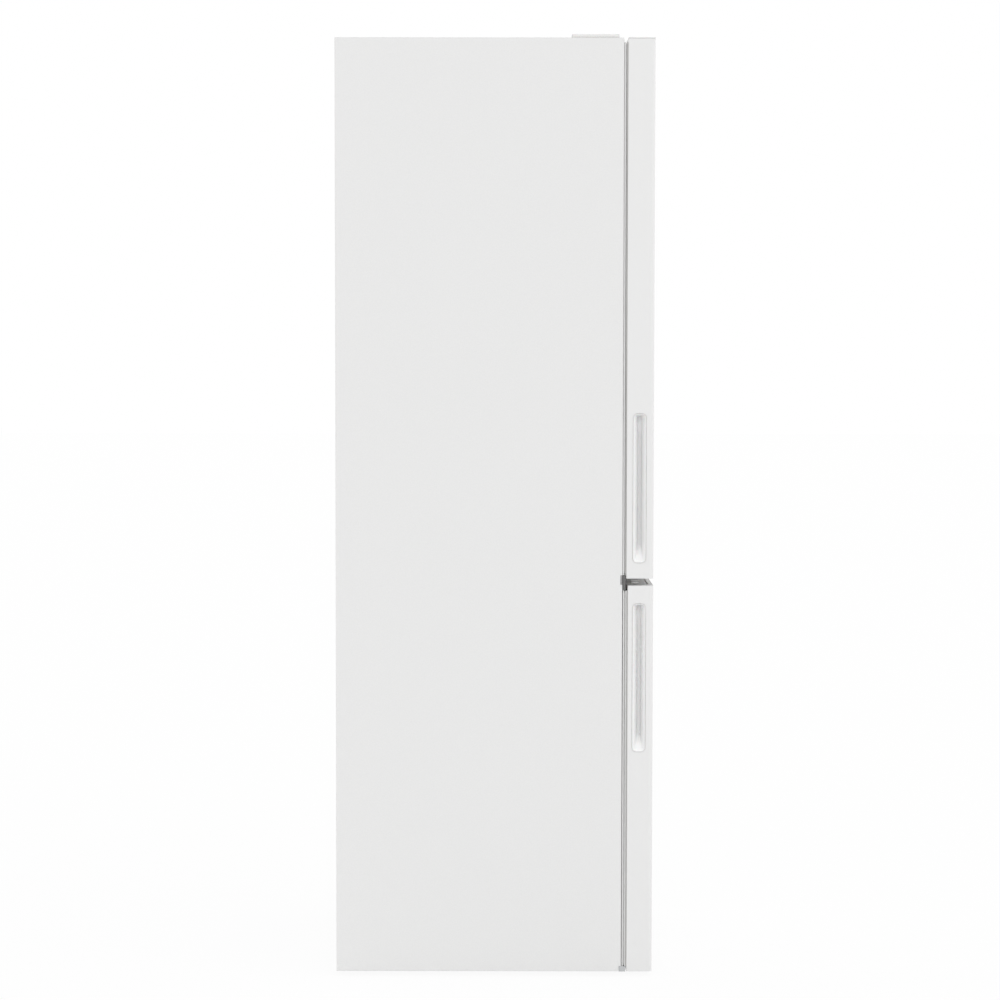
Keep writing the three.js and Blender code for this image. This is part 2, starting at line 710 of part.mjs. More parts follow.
const pin = (from, to) => disc(PIN_RADIUS, 'z', [PIN_X, PIN_Y], from, to);
const pinBore = (from, to) => disc(BORE_RADIUS, 'z', [PIN_X, PIN_Y], from, to);

function topHinge() {
  const low = TOP + SEAT;
  const plate = box(
    PIN_X - 36, PIN_X + ARM_RADIUS - 4,
    COVER_BACK - 78, COVER_BACK - 10,
    low, low + HINGE_PLATE,
  );
  const arm = prism(armOutline(COVER_BACK - 70), 'z', low, low + HINGE_PLATE);
  return join(arm, plate, pin(TOP - END_CAP + 3, low + 1));
}

function midHinge() {
  const back = FACE - SEAT;
  const plateFront = back - HINGE_PLATE;
  const narrow = box(PIN_X - 28, PIN_X + ARM_RADIUS - 2, plateFront, back, SLOT_LOW + 1, SLOT_HIGH - 1);
  const wide = box(PIN_X - 52, PIN_X - 26, plateFront, back, SLOT_LOW - 8, SLOT_HIGH + 6);
  const arm = prism(armOutline(plateFront + 1), 'z', MID_ARM_LOW, MID_ARM_LOW + MID_ARM);
  return join(wide, narrow, arm, pin(SLOT_LOW - END_CAP + 5, SLOT_HIGH + END_CAP - 5));
}

function bottomHinge() {
  const low = BOTTOM_ARM_HIGH - HINGE_PLATE;
  const plate = box(
    PIN_X - 26, PIN_X + ARM_RADIUS - 2,
    FACE - 6, FACE + RAIL_REACH - 4,
    low, BOTTOM_ARM_HIGH,
  );
  const arm = prism(armOutline(FACE - 2), 'z', low, BOTTOM_ARM_HIGH);
  return join(plate, arm, pin(BOTTOM_ARM_HIGH - 1, BASE + END_CAP - 5));
}

// a shallow moulded cap on the cabinet's top, open below
function hingeCover(side, inset, front) {
  const outer = side * (HALF - inset);
  const inner = side * (HALF - inset - COVER_WIDTH);
  const [x0, x1] = [outer, inner].sort((a, b) => a - b);
  const low = TOP + SEAT;
  const high = TOP + COVER_HEIGHT;
  const ring = (shrink, z) => roundedOutline(
    x0 + shrink, x1 - shrink, front + shrink, COVER_BACK - shrink, COVER_CORNER - shrink, 3,
  ).map(([x, y]) => new THREE.Vector3(x, y, z));
  const shell = loft([ring(0, low), ring(0, high - COVER_CHAMFER), ring(COVER_CHAMFER, high)]);
  const hollow = box(
    x0 + COVER_WALL + 1, x1 - COVER_WALL - 1,
    front + COVER_WALL + 1, COVER_BACK - COVER_WALL - 1,
    low - 1, high - COVER_WALL,
  );
  return cut(shell, hollow);
}

// ---------------------------------------------------------------- doors

// door outline seen from above, shrunk by an offset
function doorOutline(rear, inset) {
  const half = HALF - inset;
  const front = FRONT + inset;
  const back = rear - inset;
  const rf = DOOR_FRONT_RADIUS - inset;
  const rr = Math.max(DOOR_REAR_RADIUS - inset, 0.5);
  return [
    ...arc(half - rf, front + rf, rf, 270, 360, 4),
    ...arc(half - rr, back - rr, rr, 0, 90, 2),
    ...arc(-half + rr, back - rr, rr, 90, 180, 2),
    ...arc(-half + rf, front + rf, rf, 180, 270, 4),
  ];
}

// steel skin: front, rounded edges, sides and returns behind, open where the liner goes
function doorSkin(door) {
  const outer = prism(doorOutline(door.rear, 0), 'z', door.low, door.high);
  const inner = prism(doorOutline(door.rear, SHEET), 'z', door.low - 1, door.high + 1);
  const half = HALF - DOOR_RETURN;
  const window = box(-half, half, door.rear - 2 * SHEET, door.rear + 1, door.low - 1, door.high + 1);
  return cut(outer, inner, window, gripSolid(door, -1, SEAT, true), gripSolid(door, 1, SEAT, true));
}

// grip scoop in one side face: its rings shrink from the rim to a groove set towards the front
function gripSolid(door, side, grow, straight = false) {
  const front = FRONT + GRIP_FROM_FRONT;
  const stages = [[-2, 0, 0], [0, 0, 0], [0.3, 0.42, 0.3], [0.7, 0.8, 0.72], [0.93, 0.96, 0.95], [1, 1, 1]];
  const grooveFront = (GRIP_WIDTH - GRIP_GROOVE) / 2;
  const ring = ([deep, close, run]) => {
    const depth = deep < 0 ? deep : deep * GRIP_DEPTH;
    const u0 = front - grow + close * (grooveFront - 1);
    const u1 = front + GRIP_WIDTH + grow - close * (grooveFront + 1);
    const v0 = door.gripLow - grow + run * run * GRIP_RUNOUT;
    const v1 = door.gripLow + GRIP_LENGTH + grow - close * 4;
    const radius = GRIP_CORNER + grow - close * 4.5;
    const x = side * (HALF - depth - (deep > 0 ? grow : 0));
    return roundedOutline(u0, u1, v0, v1, radius, 3).map(([u, v]) => new THREE.Vector3(x, u, v));
  };
  if (straight) {
    const outline = roundedOutline(
      front - grow, front + GRIP_WIDTH + grow, door.gripLow - grow, door.gripLow + GRIP_LENGTH + grow,
      GRIP_CORNER + grow, 3,
    );
    const [from, to] = [side * (HALF - GRIP_DEPTH), side * (HALF + 1)].sort((a, b) => a - b);
    return prism(outline, 'x', from, to);
  }
  return loft(stages.map(ring));
}

function gripPocket(door, side) {
  const [from, to] = [side * HALF, side * (HALF + 10)].sort((a, b) => a - b);
  const outside = box(from, to, FRONT, door.rear, door.low, door.high);
  return cut(gripSolid(door, side, 0), gripSolid(door, side, -GRIP_WALL), outside);
}

function endCap(door, upper) {
  const high = upper ? door.high - END_CAP_INSET : door.low + END_CAP_INSET + END_CAP;
  const low = high - END_CAP;
  const half = HALF - DOOR_RETURN - SEAT;
  const pad = box(-half, half, door.rear - 4, door.rear, low, high);
  const body = join(prism(doorOutline(door.rear, SHEET + SEAT), 'z', low, high), pad);
  const rim = SHEET + 7;
  const [from, to] = upper ? [high - 2, high + 1] : [low - 1, low + 2];
  const sunk = roundedOutline(-HALF + 34, HALF - 34, FRONT + rim, door.rear - rim, 6, 3);
  return { body: cut(body, prism(sunk, 'z', from, to)), low, high };
}

// cap at the end of a door, with the bush that turns on the hinge pin
function doorCap(door, upper) {
  const { body, low, high } = endCap(door, upper);
  const bush = upper ? door.upperBush : door.lowerBush;
  const boss = disc(BOSS_RADIUS, 'z', [PIN_X, PIN_Y], Math.min(low + 1, bush), Math.max(high - 1, bush));
  const lowBore = pinBore(door.low - END_CAP, door.low + END_CAP);
  const highBore = pinBore(door.high - END_CAP, door.high + END_CAP);
  return cut(join(body, boss), lowBore, highBore);
}

// raised dike round the flat middle of a door's rear face; offset by the sheet thickness
function dikeRings(door, sink) {
  const levels = [
    [sink, door.rear - sink],
    [DIKE_DRAFT + sink, door.rear + door.dike - sink],
    [DIKE_DRAFT + DIKE_WIDTH - sink, door.rear + door.dike - sink],
    [2 * DIKE_DRAFT + DIKE_WIDTH - sink, door.rear + LINER - sink],
  ];
  return levels.map(([inset, y]) => dikeRing(door, inset, y));
}

function dikeRing(door, inset, y) {
  const half = INNER - DIKE_CLEARANCE - inset;
  return roundedOutline(-half, half, door.dikeLow + inset, door.dikeHigh - inset, 6, 3)
    .map(([x, z]) => new THREE.Vector3(x, y, z));
}

function doorLiner(door) {
  const half = HALF - DOOR_RETURN - SEAT;
  const low = door.low + END_CAP_INSET + END_CAP + SEAT;
  const high = door.high - END_CAP_INSET - END_CAP - SEAT;
  const outline = roundedOutline(-half, half, low, high, 4, 3);
  const border = (y) => outline.map(([x, z]) => new THREE.Vector3(x, y, z));
  return loft([
    ...dikeRings(door, 0).reverse(),
    border(door.rear),
    border(door.rear - LINER),
    ...dikeRings(door, LINER),
  ]);
}

function doorFoam(door) {
  const inset = SHEET + SEAT;
  const low = door.low + END_CAP_INSET + END_CAP + SEAT;
  const high = door.high - END_CAP_INSET - END_CAP - SEAT;
  const rear = door.rear - LINER - SEAT;
  const core = cut(
    prism(doorOutline(door.rear, inset), 'z', low, high),
    box(-HALF, HALF, rear, door.rear + 1, low - 1, high + 1),
  );
  const dike = loft([dikeRing(door, LINER + SEAT, rear - 5), ...dikeRings(door, LINER + SEAT)]);
  return cut(join(core, dike), gripSolid(door, -1, SEAT), gripSolid(door, 1, SEAT));
}

// magnetic seal: a foot on the door, a folded bellows and the magnet strip on the cabinet face
function doorSeal(door) {
  const face = FACE - SEAT;
  const foot = door.rear + SEAT;
  const bellows = foot + SEAL_FOOT;
  const magnet = face - SEAL_MAGNET;
  const fold = (magnet - bellows) / door.sealFolds;
  const [reach, slit] = [4, 0.5];
  const outer = [[0, foot], [0, bellows]];
  const inner = [[SEAL_WIDTH, bellows], [SEAL_WIDTH, foot]];
  for (let i = 0; i < door.sealFolds; i++) {
    const y = bellows + (i + 0.5) * fold;
    outer.push([reach, y - slit], [reach, y + slit]);
    inner.unshift([SEAL_WIDTH - reach, y + slit], [SEAL_WIDTH - reach, y - slit]);
    if (i + 1 < door.sealFolds) {
      outer.push([slit, bellows + (i + 1) * fold]);
      inner.unshift([SEAL_WIDTH - slit, bellows + (i + 1) * fold]);
    }
  }
  const profile = [
    ...outer, [0, magnet], [0, face - 1.2], [5, face - 0.3], [8, face],
    [SEAL_WIDTH - 1, face], [SEAL_WIDTH, face - 1], [SEAL_WIDTH, magnet], ...inner,
  ];
  return sweepFrame(profile, {
    left: -HALF + SEAL_SIDE_INSET,
    right: HALF - SEAL_HINGE_INSET,
    low: door.low + door.sealInset,
    high: door.high - door.sealInset,
  });
}

// open tray with drawn-in sides, from a floor to a rim
function tray(x0, x1, y0, y1, z0, z1, wall, draft, corner = 14) {
  const ring = (inset, z, radius) => roundedOutline(
    x0 + inset, x1 - inset, y0 + inset, y1 - inset, radius, 3,
  ).map(([x, y]) => new THREE.Vector3(x, y, z));
  return loft([
    ring(draft, z0, corner - 4),
    ring(0, z1, corner),
    ring(wall, z1, corner - wall),
    ring(draft + wall, z0 + wall, corner - 4 - wall),
  ]);
}

// bin between the side dikes, with a rail along its front rim
function doorBin(door, level, height) {
  const half = INNER - DIKE_CLEARANCE - 2 * DIKE_DRAFT - DIKE_WIDTH - 2 * SEAT;
  const back = door.rear + LINER + SEAT;
  const front = back + BIN_REACH;
  const body = tray(-half, half, back, front, level, level + height, BIN_WALL, 3);
  const y = front - BIN_WALL;
  const rail = box(-half + 14, half - 14, y - 4, y + BIN_WALL, level + height - 8, level + height);
  return join(body, rail);
}

// ---------------------------------------------------------------- shelves and drawers

function shelfGlass(level) {
  const half = INNER - SHELF_SIDE_CLEARANCE - SHELF_RIM / 2;
  const inset = SHELF_RIM / 2;
  return box(-half, half, SHELF_FRONT + inset, SHELF_BACK - inset, level - GLASS - SEAT, level - SEAT);
}

// frame with a rabbet that the pane drops into and a rounded nose at the front
function shelfFrame(level) {
  const half = INNER - SHELF_SIDE_CLEARANCE;
  const low = level - SHELF_FRAME_HEIGHT;
  const nose = 3;
  const outer = prism([
    [SHELF_FRONT + nose, low],
    [SHELF_BACK, low],
    [SHELF_BACK, level],
    ...arc(SHELF_FRONT + nose, level - nose, nose, 90, 180, 3),
    ...arc(SHELF_FRONT + nose, low + nose, nose, 180, 270, 3).slice(0, -1),
  ], 'x', -half, half);
  const pane = SHELF_RIM / 2 - SEAT;
  const rabbet = box(
    -half + pane, half - pane, SHELF_FRONT + pane, SHELF_BACK - pane, level - GLASS - 2 * SEAT, level + 1,
  );
  const open = box(
    -half + SHELF_RIM, half - SHELF_RIM,
    SHELF_FRONT + SHELF_RIM, SHELF_BACK - SHELF_RIM,
    low - 1, level + 1,
  );
  return cut(outer, rabbet, open);
}

// drawer tub with a thick front that has a finger scoop under its upper edge
function drawer(half, front, rear, floor, height, lip) {
  const frontHigh = floor + height;
  const tubFront = front + DRAWER_FRONT - TUB_WALL;
  const tub = tray(-half, half, tubFront, rear, floor, frontHigh - TUB_WALL, TUB_WALL, TUB_DRAFT);
  const nose = 4;
  const face = prism([
    ...arc(front + nose, frontHigh - nose, nose, 90, 180, 3),
    ...arc(front + nose, floor + nose, nose, 180, 270, 3),
    [front + DRAWER_FRONT, floor],
    [front + DRAWER_FRONT, frontHigh],
  ], 'x', -half, half);
  const scoop = prism([
    [front - 1, frontHigh - 44],
    [front - 1, frontHigh - 18],
    [front + 8, frontHigh - 18],
    [front + 8, frontHigh - 26],
  ], 'x', -half * 0.42, half * 0.42);
  const parts = [tub];
  if (lip) {
    const lipHigh = frontHigh - TUB_WALL;
    for (const side of [-1, 1]) {
      const x = [side * (half - TUB_WALL), side * (half + lip)].sort((a, b) => a - b);
      parts.push(box(...x, front + DRAWER_FRONT, rear - 20, lipHigh - 2 * TUB_WALL, lipHigh));
    }
  }
  return join(cut(face, scoop), ...parts);
}

// ---------------------------------------------------------------- cooling parts

// hermetic shell in two deep-drawn halves with a weld flange, on a foot plate with grommets
function compressor() {
  const plate = TRAY_LEVEL + GROMMET;
  const low = plate + 6;
  const high = low + COMPRESSOR_HEIGHT;
  const r = COMPRESSOR_RADIUS;
  const seam = low + COMPRESSOR_HEIGHT * 0.52;
  const shell = turned([
    [0, low], [r * 0.55, low + 1], [r * 0.84, low + 12], [r - 2, low + 36], [r - 2, seam - 3],
    [r + 3, seam - 3], [r + 3, seam + 3], [r - 2, seam + 3], [r - 3, high - 44], [r * 0.86, high - 18],
    [r * 0.56, high - 4], [0, high],
  ], COMPRESSOR_X, MACHINE_Y, 24);
  const [footX, footY] = [r + 14, r - 22];
  const foot = prism(roundedOutline(
    COMPRESSOR_X - footX, COMPRESSOR_X + footX, MACHINE_Y - footY, MACHINE_Y + footY, 12, 3,
  ), 'z', plate, plate + 3);
  const saddle = box(
    COMPRESSOR_X - 34, COMPRESSOR_X + 34,
    MACHINE_Y - 34, MACHINE_Y + 34,
    plate + 1, low + 8,
  );
  const stub = bentTube([
    new THREE.Vector3(COMPRESSOR_X - r + 6, MACHINE_Y, low + 60),
    new THREE.Vector3(COMPRESSOR_X - r - 22, MACHINE_Y, low + 60),
    new THREE.Vector3(COMPRESSOR_X - r - 22, MACHINE_Y, low + 104),
  ], 4, 10);
  const terminal = box(
    COMPRESSOR_X + r - 8, COMPRESSOR_X + r + 24,
    MACHINE_Y - 24, MACHINE_Y + 24,
    low + 34, low + 88,
  );
  const grommets = [];
  for (const dx of [-footX + 12, footX - 12]) {
    for (const dy of [-footY + 12, footY - 12]) {
      const centre = [COMPRESSOR_X + dx, MACHINE_Y + dy];
      grommets.push(disc(9, 'z', centre, TRAY_LEVEL + SEAT, plate + 1, 12));
    }
  }
  return join(shell, saddle, foot, stub, terminal, ...grommets);
}

// cross plate at the back of the base: it carries the compressor and the axles of the rollers
function compressorPlate() {
  const half = HALF - SHEET - SEAT;
  const front = ROOM_FRONT + SEAT;
  const rear = BACK - 9;
  const low = TRAY_LEVEL - TRAY_SHEET;
  const pan = cut(
    box(-half, half, front, rear, low, TRAY_LEVEL + 8),
    box(-half - 1, half + 1, front + TRAY_SHEET, rear - TRAY_SHEET, TRAY_LEVEL, TRAY_LEVEL + 9),
  );
  const ears = [];
  const ear = ROLLER_WIDTH / 2 + 1;
  for (const side of [-1, 1]) {
    for (const edge of [-1, 1]) {
      const x = side * RUNNER_X + edge * (ear + TRAY_SHEET / 2);
      ears.push(box(
        x - TRAY_SHEET / 2, x + TRAY_SHEET / 2,
        ROLLER_Y - 11, ROLLER_Y + 11,
        ROLLER_RADIUS - 7, low + 1,
      ));
    }
    const reach = ear + TRAY_SHEET / 2;
    const axle = [ROLLER_Y, ROLLER_RADIUS];
    ears.push(disc(AXLE_RADIUS, 'x', axle, side * RUNNER_X - reach, side * RUNNER_X + reach));
  }
  const wells = [-1, 1].map((side) => box(
    side * RUNNER_X - ROLLER_WIDTH / 2 - 1, side * RUNNER_X + ROLLER_WIDTH / 2 + 1,
    ROLLER_Y - ROLLER_RADIUS - 2, ROLLER_Y + ROLLER_RADIUS + 2, low - 1, TRAY_LEVEL + 1,
  ));
  return join(cut(pan, ...wells), ...ears);
}

function roller(side) {
  const half = ROLLER_WIDTH / 2;
  const bore = AXLE_RADIUS + SEAT;
  const profile = [
    [bore, -half], [ROLLER_RADIUS - 1.5, -half], [ROLLER_RADIUS, -half + 1.5],
    [ROLLER_RADIUS, half - 1.5], [ROLLER_RADIUS - 1.5, half], [bore, half], [bore, -half],
  ].map(([r, w]) => new THREE.Vector2(r, w));
  const geometry = new THREE.LatheGeometry(profile, 20);
  geometry.rotateZ(Math.PI / 2);
  geometry.translate(side * RUNNER_X, ROLLER_Y, ROLLER_RADIUS);
  return toSolid(geometry);
}

function levellingFoot(side) {
  const flange = BASE - 0.7;
  return turned([
    [0, 0], [FOOT_RADIUS - 1, 0], [FOOT_RADIUS, 1], [FOOT_RADIUS, 4], [FOOT_RADIUS - 3, 6],
    [STEM_RADIUS + 3.5, 6], [STEM_RADIUS + 3.5, flange - SEAT], [STEM_RADIUS, flange - SEAT],
    [STEM_RADIUS, BASE_PLATE_LOW - 3], [STEM_RADIUS - 1, BASE_PLATE_LOW - 2], [0, BASE_PLATE_LOW - 2],
  ], side * RUNNER_X, FOOT_Y, 16);
}

// serpentine with straight runs along X, stacked upwards
function serpentine(half, y, low, pitch, runs, radius) {
  const points = [];
  for (let i = 0; i < runs; i++) {
    const side = i % 2 ? 1 : -1;
    const z = low + i * pitch;
    points.push(new THREE.Vector3(side * half, y, z), new THREE.Vector3(-side * half, y, z));
  }
  return bentTube(points, radius, pitch / 2 - 0.01, 6);
}

function evaporator() {
  const runs = 5;
  const pitch = 40;
  const low = STEP_TOP + 24;
  const y = (AIR_COVER_FRONT + FREEZER_BACK) / 2 + 4;
  const half = INNER - EVAPORATOR_SIDE_GAP;
  const coil = serpentine(half, y, low, pitch, runs, 4);
  const finCount = 9;
  const finHalf = half - FIN_SIDE_GAP;
  const [front, rear] = [y - FIN_DEPTH / 2, y + FIN_DEPTH / 2];
  const fins = [];
  for (let i = 0; i < finCount; i++) {
    const x = -finHalf + (i * 2 * finHalf) / (finCount - 1);
    fins.push(box(x - 0.6, x + 0.6, front, rear, low - 14, low + (runs - 1) * pitch + 14));
  }
  const feet = [-1, 1].map((side) => {
    const x = side * finHalf * (1 - 2 / (finCount - 1));
    return box(x - 9, x + 9, front, rear, STEP_TOP + SEAT, low - 12);
  });
  return join(coil, ...fins, ...feet);
}

// wire and tube condenser that stands in the machine room beside the compressor
function condenser() {
  const runs = 5;
  const pitch = 30;
  const tubeRadius = 3.2;
  const footHeight = 22;           // compressor plate to the lowest run
  const bend = 26;                 // outer wires to the ends of the bends
  const wireCount = 7;
  const wireReach = 8;             // the wires end this far past the outer runs
  const low = TRAY_LEVEL + footHeight;
  const x0 = -HALF + CONDENSER_FROM_SIDE;
  const x1 = COMPRESSOR_X - COMPRESSOR_RADIUS - CONDENSER_GAP;
  const coil = serpentine((x1 - x0) / 2, MACHINE_Y, low, pitch, runs, tubeRadius);
  const wires = [];
  const [firstWire, lastWire] = [x0 + bend, x1 - bend];
  for (let i = 0; i < wireCount; i++) {
    const x = firstWire + (i * (lastWire - firstWire)) / (wireCount - 1);
    const y = MACHINE_Y + 3;
    wires.push(box(x - 1, x + 1, y - 1, y + 1, low - wireReach, low + (runs - 1) * pitch + wireReach));
  }
  const feet = [firstWire, lastWire].map((x) =>
    box(x - 6, x + 6, MACHINE_Y - 10, MACHINE_Y + 10, TRAY_LEVEL + SEAT, low - 5));
  return join(coil.translate([(x0 + x1) / 2, 0, 0]), ...wires, ...feet);
}

// pan on the compressor that the thaw water dries from
function drainPan() {
  const [left, right, front, rear] = [120, 96, 70, 62];   // reach from the compressor's middle
  const height = 20;
  const wall = 2;
  const draft = 4;
  const low = TRAY_LEVEL + GROMMET + 6 + COMPRESSOR_HEIGHT + SEAT;
  const [x0, x1] = [COMPRESSOR_X - left, COMPRESSOR_X + right];
  return tray(x0, x1, MACHINE_Y - front, MACHINE_Y + rear, low, low + height, wall, draft);
}

// rear cover of the machine room with rows of air slots
function machineRoomCover() {
  const half = HALF - SHEET - SEAT - 4;
  const rear = BACK_PANEL_FACE;
  const low = BASE + 4;
  const sheet = 1.6;
  const columns = 12;
  const slotRows = [48, 134];      // over the lower edge of the cover
  const slotHeight = 66;
  const slotWidth = 10;
  const margin = 40;               // side of the cover to the first column
  const plate = box(-half, half, rear - sheet, rear, low, ROOM_HEIGHT - SEAT);
  const slots = [];
  for (let i = 0; i < columns; i++) {
    const x = -half + margin + (i * 2 * (half - margin)) / (columns - 1);
    for (const row of slotRows) {
      const z = low + row;
      slots.push(box(x - slotWidth / 2, x + slotWidth / 2, rear - 3, rear + 1, z, z + slotHeight));
    }
  }
  const gland = disc(9, 'y', [-half + 24, low + 24], rear - 3, rear + 1, 16);
  return cut(plate, ...slots, gland);
}

// gland that the supply lead would enter by
function inletGland() {
  const half = HALF - SHEET - SEAT - 4;
  const rear = BACK_PANEL_FACE;
  const centre = [-half + 24, BASE + 4 + 24];
  const body = join(
    disc(9 - SEAT, 'y', centre, rear - 6, rear + 1, 16),
    disc(12, 'y', centre, rear - 6, rear - 1.6 - SEAT, 16),
  );
  return cut(body, disc(4, 'y', centre, rear - 7, rear + 2, 12));
}

// moulded wall in front of the evaporator, with outlet slots, the fan ring and the motor spider
function airCover() {
  const half = INNER - SHELF_SIDE_CLEARANCE;
  const front = AIR_COVER_FRONT;
  const low = STEP_TOP + SEAT;
  const high = FREEZER_HIGH - SEAT;
  const wall = box(-half, half, front, front + AIR_COVER, low, high);
  const opening = disc(FAN_RADIUS + FAN_CLEARANCE, 'y', [0, FAN_LEVEL], front - 1, front + 25, 32);
  const ring = cut(
    disc(FAN_RADIUS + FAN_CLEARANCE + 3, 'y', [0, FAN_LEVEL], front + 1, front + 18, 32), opening,
  );
  const slots = [];
  const slotCount = 7;
  for (const z of [low + 60, FAN_LEVEL - FAN_RADIUS - 60]) {
    for (let i = 0; i < slotCount; i++) {
      const x = (i - (slotCount - 1) / 2) * 44;
      slots.push(box(x - 15, x + 15, front - 1, front + AIR_COVER + 1, z, z + 12));
    }
  }
  const spider = [];
  for (let i = 0; i < 3; i++) {
    const angle = Math.PI / 2 + (i * 2 * Math.PI) / 3;
    const reach = FAN_RADIUS + FAN_CLEARANCE + 1;
    const arm = box(12, reach, front + 15, front + 18, -3, 3).rotate([0, (-angle * 180) / Math.PI, 0]);
    spider.push(arm.translate([0, 0, FAN_LEVEL]));
  }
  const mount = disc(18, 'y', [0, FAN_LEVEL], front + 15, front + 18, 20);
  const shaftHole = disc(SHAFT_RADIUS + SEAT, 'y', [0, FAN_LEVEL], front + 14, front + 19, 12);
  return cut(join(cut(wall, opening, ...slots), ring, ...spider, mount), shaftHole);
}

// fan motor behind the spider, with the shaft that the fan sits on
function fanMotor() {
  const front = AIR_COVER_FRONT + 18 + SEAT;
  const body = disc(20, 'y', [0, FAN_LEVEL], front, front + 22, 20);
  return join(body, disc(SHAFT_RADIUS, 'y', [0, FAN_LEVEL], AIR_COVER_FRONT + 5, front + 1, 12));
}

// seven twisted blades on a hub that is bored for the motor's shaft
function fan() {
  const front = AIR_COVER_FRONT + 1;
  const rear = AIR_COVER_FRONT + 13.5;
  const bore = disc(SHAFT_RADIUS + SEAT, 'y', [0, FAN_LEVEL], front + 3, rear + 1, 12);
  const hub = cut(disc(14, 'y', [0, FAN_LEVEL], front, rear, 20), bore);
  const blades = [];
  for (let i = 0; i < FAN_BLADES; i++) {
    const stations = [12, 28, FAN_RADIUS];
    const rings = stations.map((r, k) => {
      const pitch = THREE.MathUtils.degToRad(52 - 13 * k);
      const chord = 8 + 4 * k;
      const across = new THREE.Vector3(Math.cos(pitch), Math.sin(pitch), 0);
      const thick = new THREE.Vector3(-Math.sin(pitch), Math.cos(pitch), 0).multiplyScalar(0.7);
      const limit = (rear - front) / 2 - 1;
      const reach = Math.min(chord, limit / Math.sin(pitch));
      const middle = new THREE.Vector3(0, (front + rear) / 2, r);
      return [[-1, -1], [1, -1], [1, 1], [-1, 1]].map(([s, t]) =>
        middle.clone().addScaledVector(across, s * reach).addScaledVector(thick, t));
    });
    blades.push(loft(rings).rotate([0, (i * 360) / FAN_BLADES, 0]).translate([0, 0, FAN_LEVEL]));
  }
  return join(hub, ...blades);
}

// duct panel on the fridge back wall with pairs of outlets
function airDuct() {
  const front = SHELF_BACK + 6;
  const half = DUCT_HALF_WIDTH;
  const [low, high] = [FRIDGE_LOW + 14, FRIDGE_HIGH - 30];
  const outline = (inset) =>
    roundedOutline(-half + inset, half - inset, low + inset, high - inset, 14 - inset, 3);
  const wall = 2.5;
  const channel = prism(outline(wall), 'y', front + wall, FRIDGE_BACK + 1);
  const body = cut(prism(outline(0), 'y', front, FRIDGE_BACK - SEAT), channel);
  const outlets = [];
  for (const level of [CRISPER_COVER_LEVEL, ...SHELF_LEVELS]) {
    const z = level + DUCT_OUTLET_RISE;
    for (const x of [-DUCT_OUTLET_X, DUCT_OUTLET_X]) {
      outlets.push(box(x - 18, x + 18, front - 1, front + 8, z, z + 10));
    }
  }
  return cut(body, ...outlets);
}

// ---------------------------------------------------------------- ceiling controls

function controlHousing() {
  const half = CONTROL_WIDTH / 2;
  const high = FRIDGE_HIGH - SEAT;
  const low = CONTROL_LOW;
  const rear = CONTROL_FRONT + CONTROL_DEPTH;
  const body = prism([
    [CONTROL_FRONT, high],
    [CONTROL_FRONT, low + 6],
    [CONTROL_FRONT + 5, low],
    [rear - 24, low],
    [rear, low + 24],
    [rear, high],
  ], 'x', -half, half);
  const lampSeat = lampBox(0, low - 1);
  const stub = disc(AXLE_RADIUS, 'y', [KNOB_X, KNOB_LEVEL], CONTROL_FRONT - 9, CONTROL_FRONT + 1, 16);
  return join(cut(body, lampSeat), stub);
}

// the lamp's seat in the housing, or with a clearance the lens that fills it
function lampBox(clearance, low) {
  const rear = CONTROL_FRONT + CONTROL_DEPTH - 34;
  return box(
    -CONTROL_WIDTH / 2 + 22 + clearance, KNOB_X - 40 - clearance,
    CONTROL_FRONT + 22 + clearance, rear - clearance,
    low, CONTROL_LOW + 10 - clearance,
  );
}

const lampLens = () => lampBox(SEAT, CONTROL_LOW - 3);

// setting knob with a finger bar, on the stub of the housing
function controlKnob() {
  const z = KNOB_LEVEL;
  const rear = CONTROL_FRONT - SEAT;
  const skirt = disc(KNOB_RADIUS, 'y', [KNOB_X, z], rear - KNOB_DEPTH * 0.4, rear, 28);
  const barrel = disc(KNOB_RADIUS - 3, 'y', [KNOB_X, z], rear - KNOB_DEPTH, rear - 1, 28);
  const flats = [-1, 1].map((side) => {
    const x = [KNOB_X + side * 4, KNOB_X + side * KNOB_RADIUS].sort((a, b) => a - b);
    return box(...x, rear - KNOB_DEPTH - 1, rear - KNOB_DEPTH * 0.4, z - KNOB_RADIUS, z + KNOB_RADIUS);
  });
  const bore = disc(AXLE_RADIUS + SEAT, 'y', [KNOB_X, z], rear - 9, rear + 1, 16);
  return cut(join(skirt, barrel), ...flats, bore);
}

// ---------------------------------------------------------------- the two doors, described

const upperDoor = {
  low: SLOT_HIGH,
  high: TOP - DOOR_TOP_DROP,
  rear: UPPER_REAR,
  dike: UPPER_DIKE,
  dikeLow: FRIDGE_LOW + DIKE_CLEARANCE,
  dikeHigh: FRIDGE_HIGH - DIKE_CLEARANCE,
  gripLow: SLOT_HIGH + GRIP_ABOVE_SLOT,
  sealInset: UPPER_SEAL_INSET,
  sealFolds: 1,
  upperBush: TOP - DOOR_TOP_DROP + SEAT,
  lowerBush: MID_ARM_LOW + MID_ARM + SEAT,
};

const lowerDoor = {
  low: BASE,
  high: SLOT_LOW,
  rear: LOWER_REAR,
  dike: LOWER_DIKE,
  dikeLow: FREEZER_FLOOR + DIKE_CLEARANCE,
  dikeHigh: FREEZER_HIGH - DIKE_CLEARANCE,
  gripLow: SLOT_LOW - GRIP_BELOW_SLOT - GRIP_LENGTH,
  sealInset: LOWER_SEAL_INSET,
  sealFolds: 2,
  upperBush: MID_ARM_LOW - SEAT,
  lowerBush: BOTTOM_ARM_HIGH + SEAT,
};

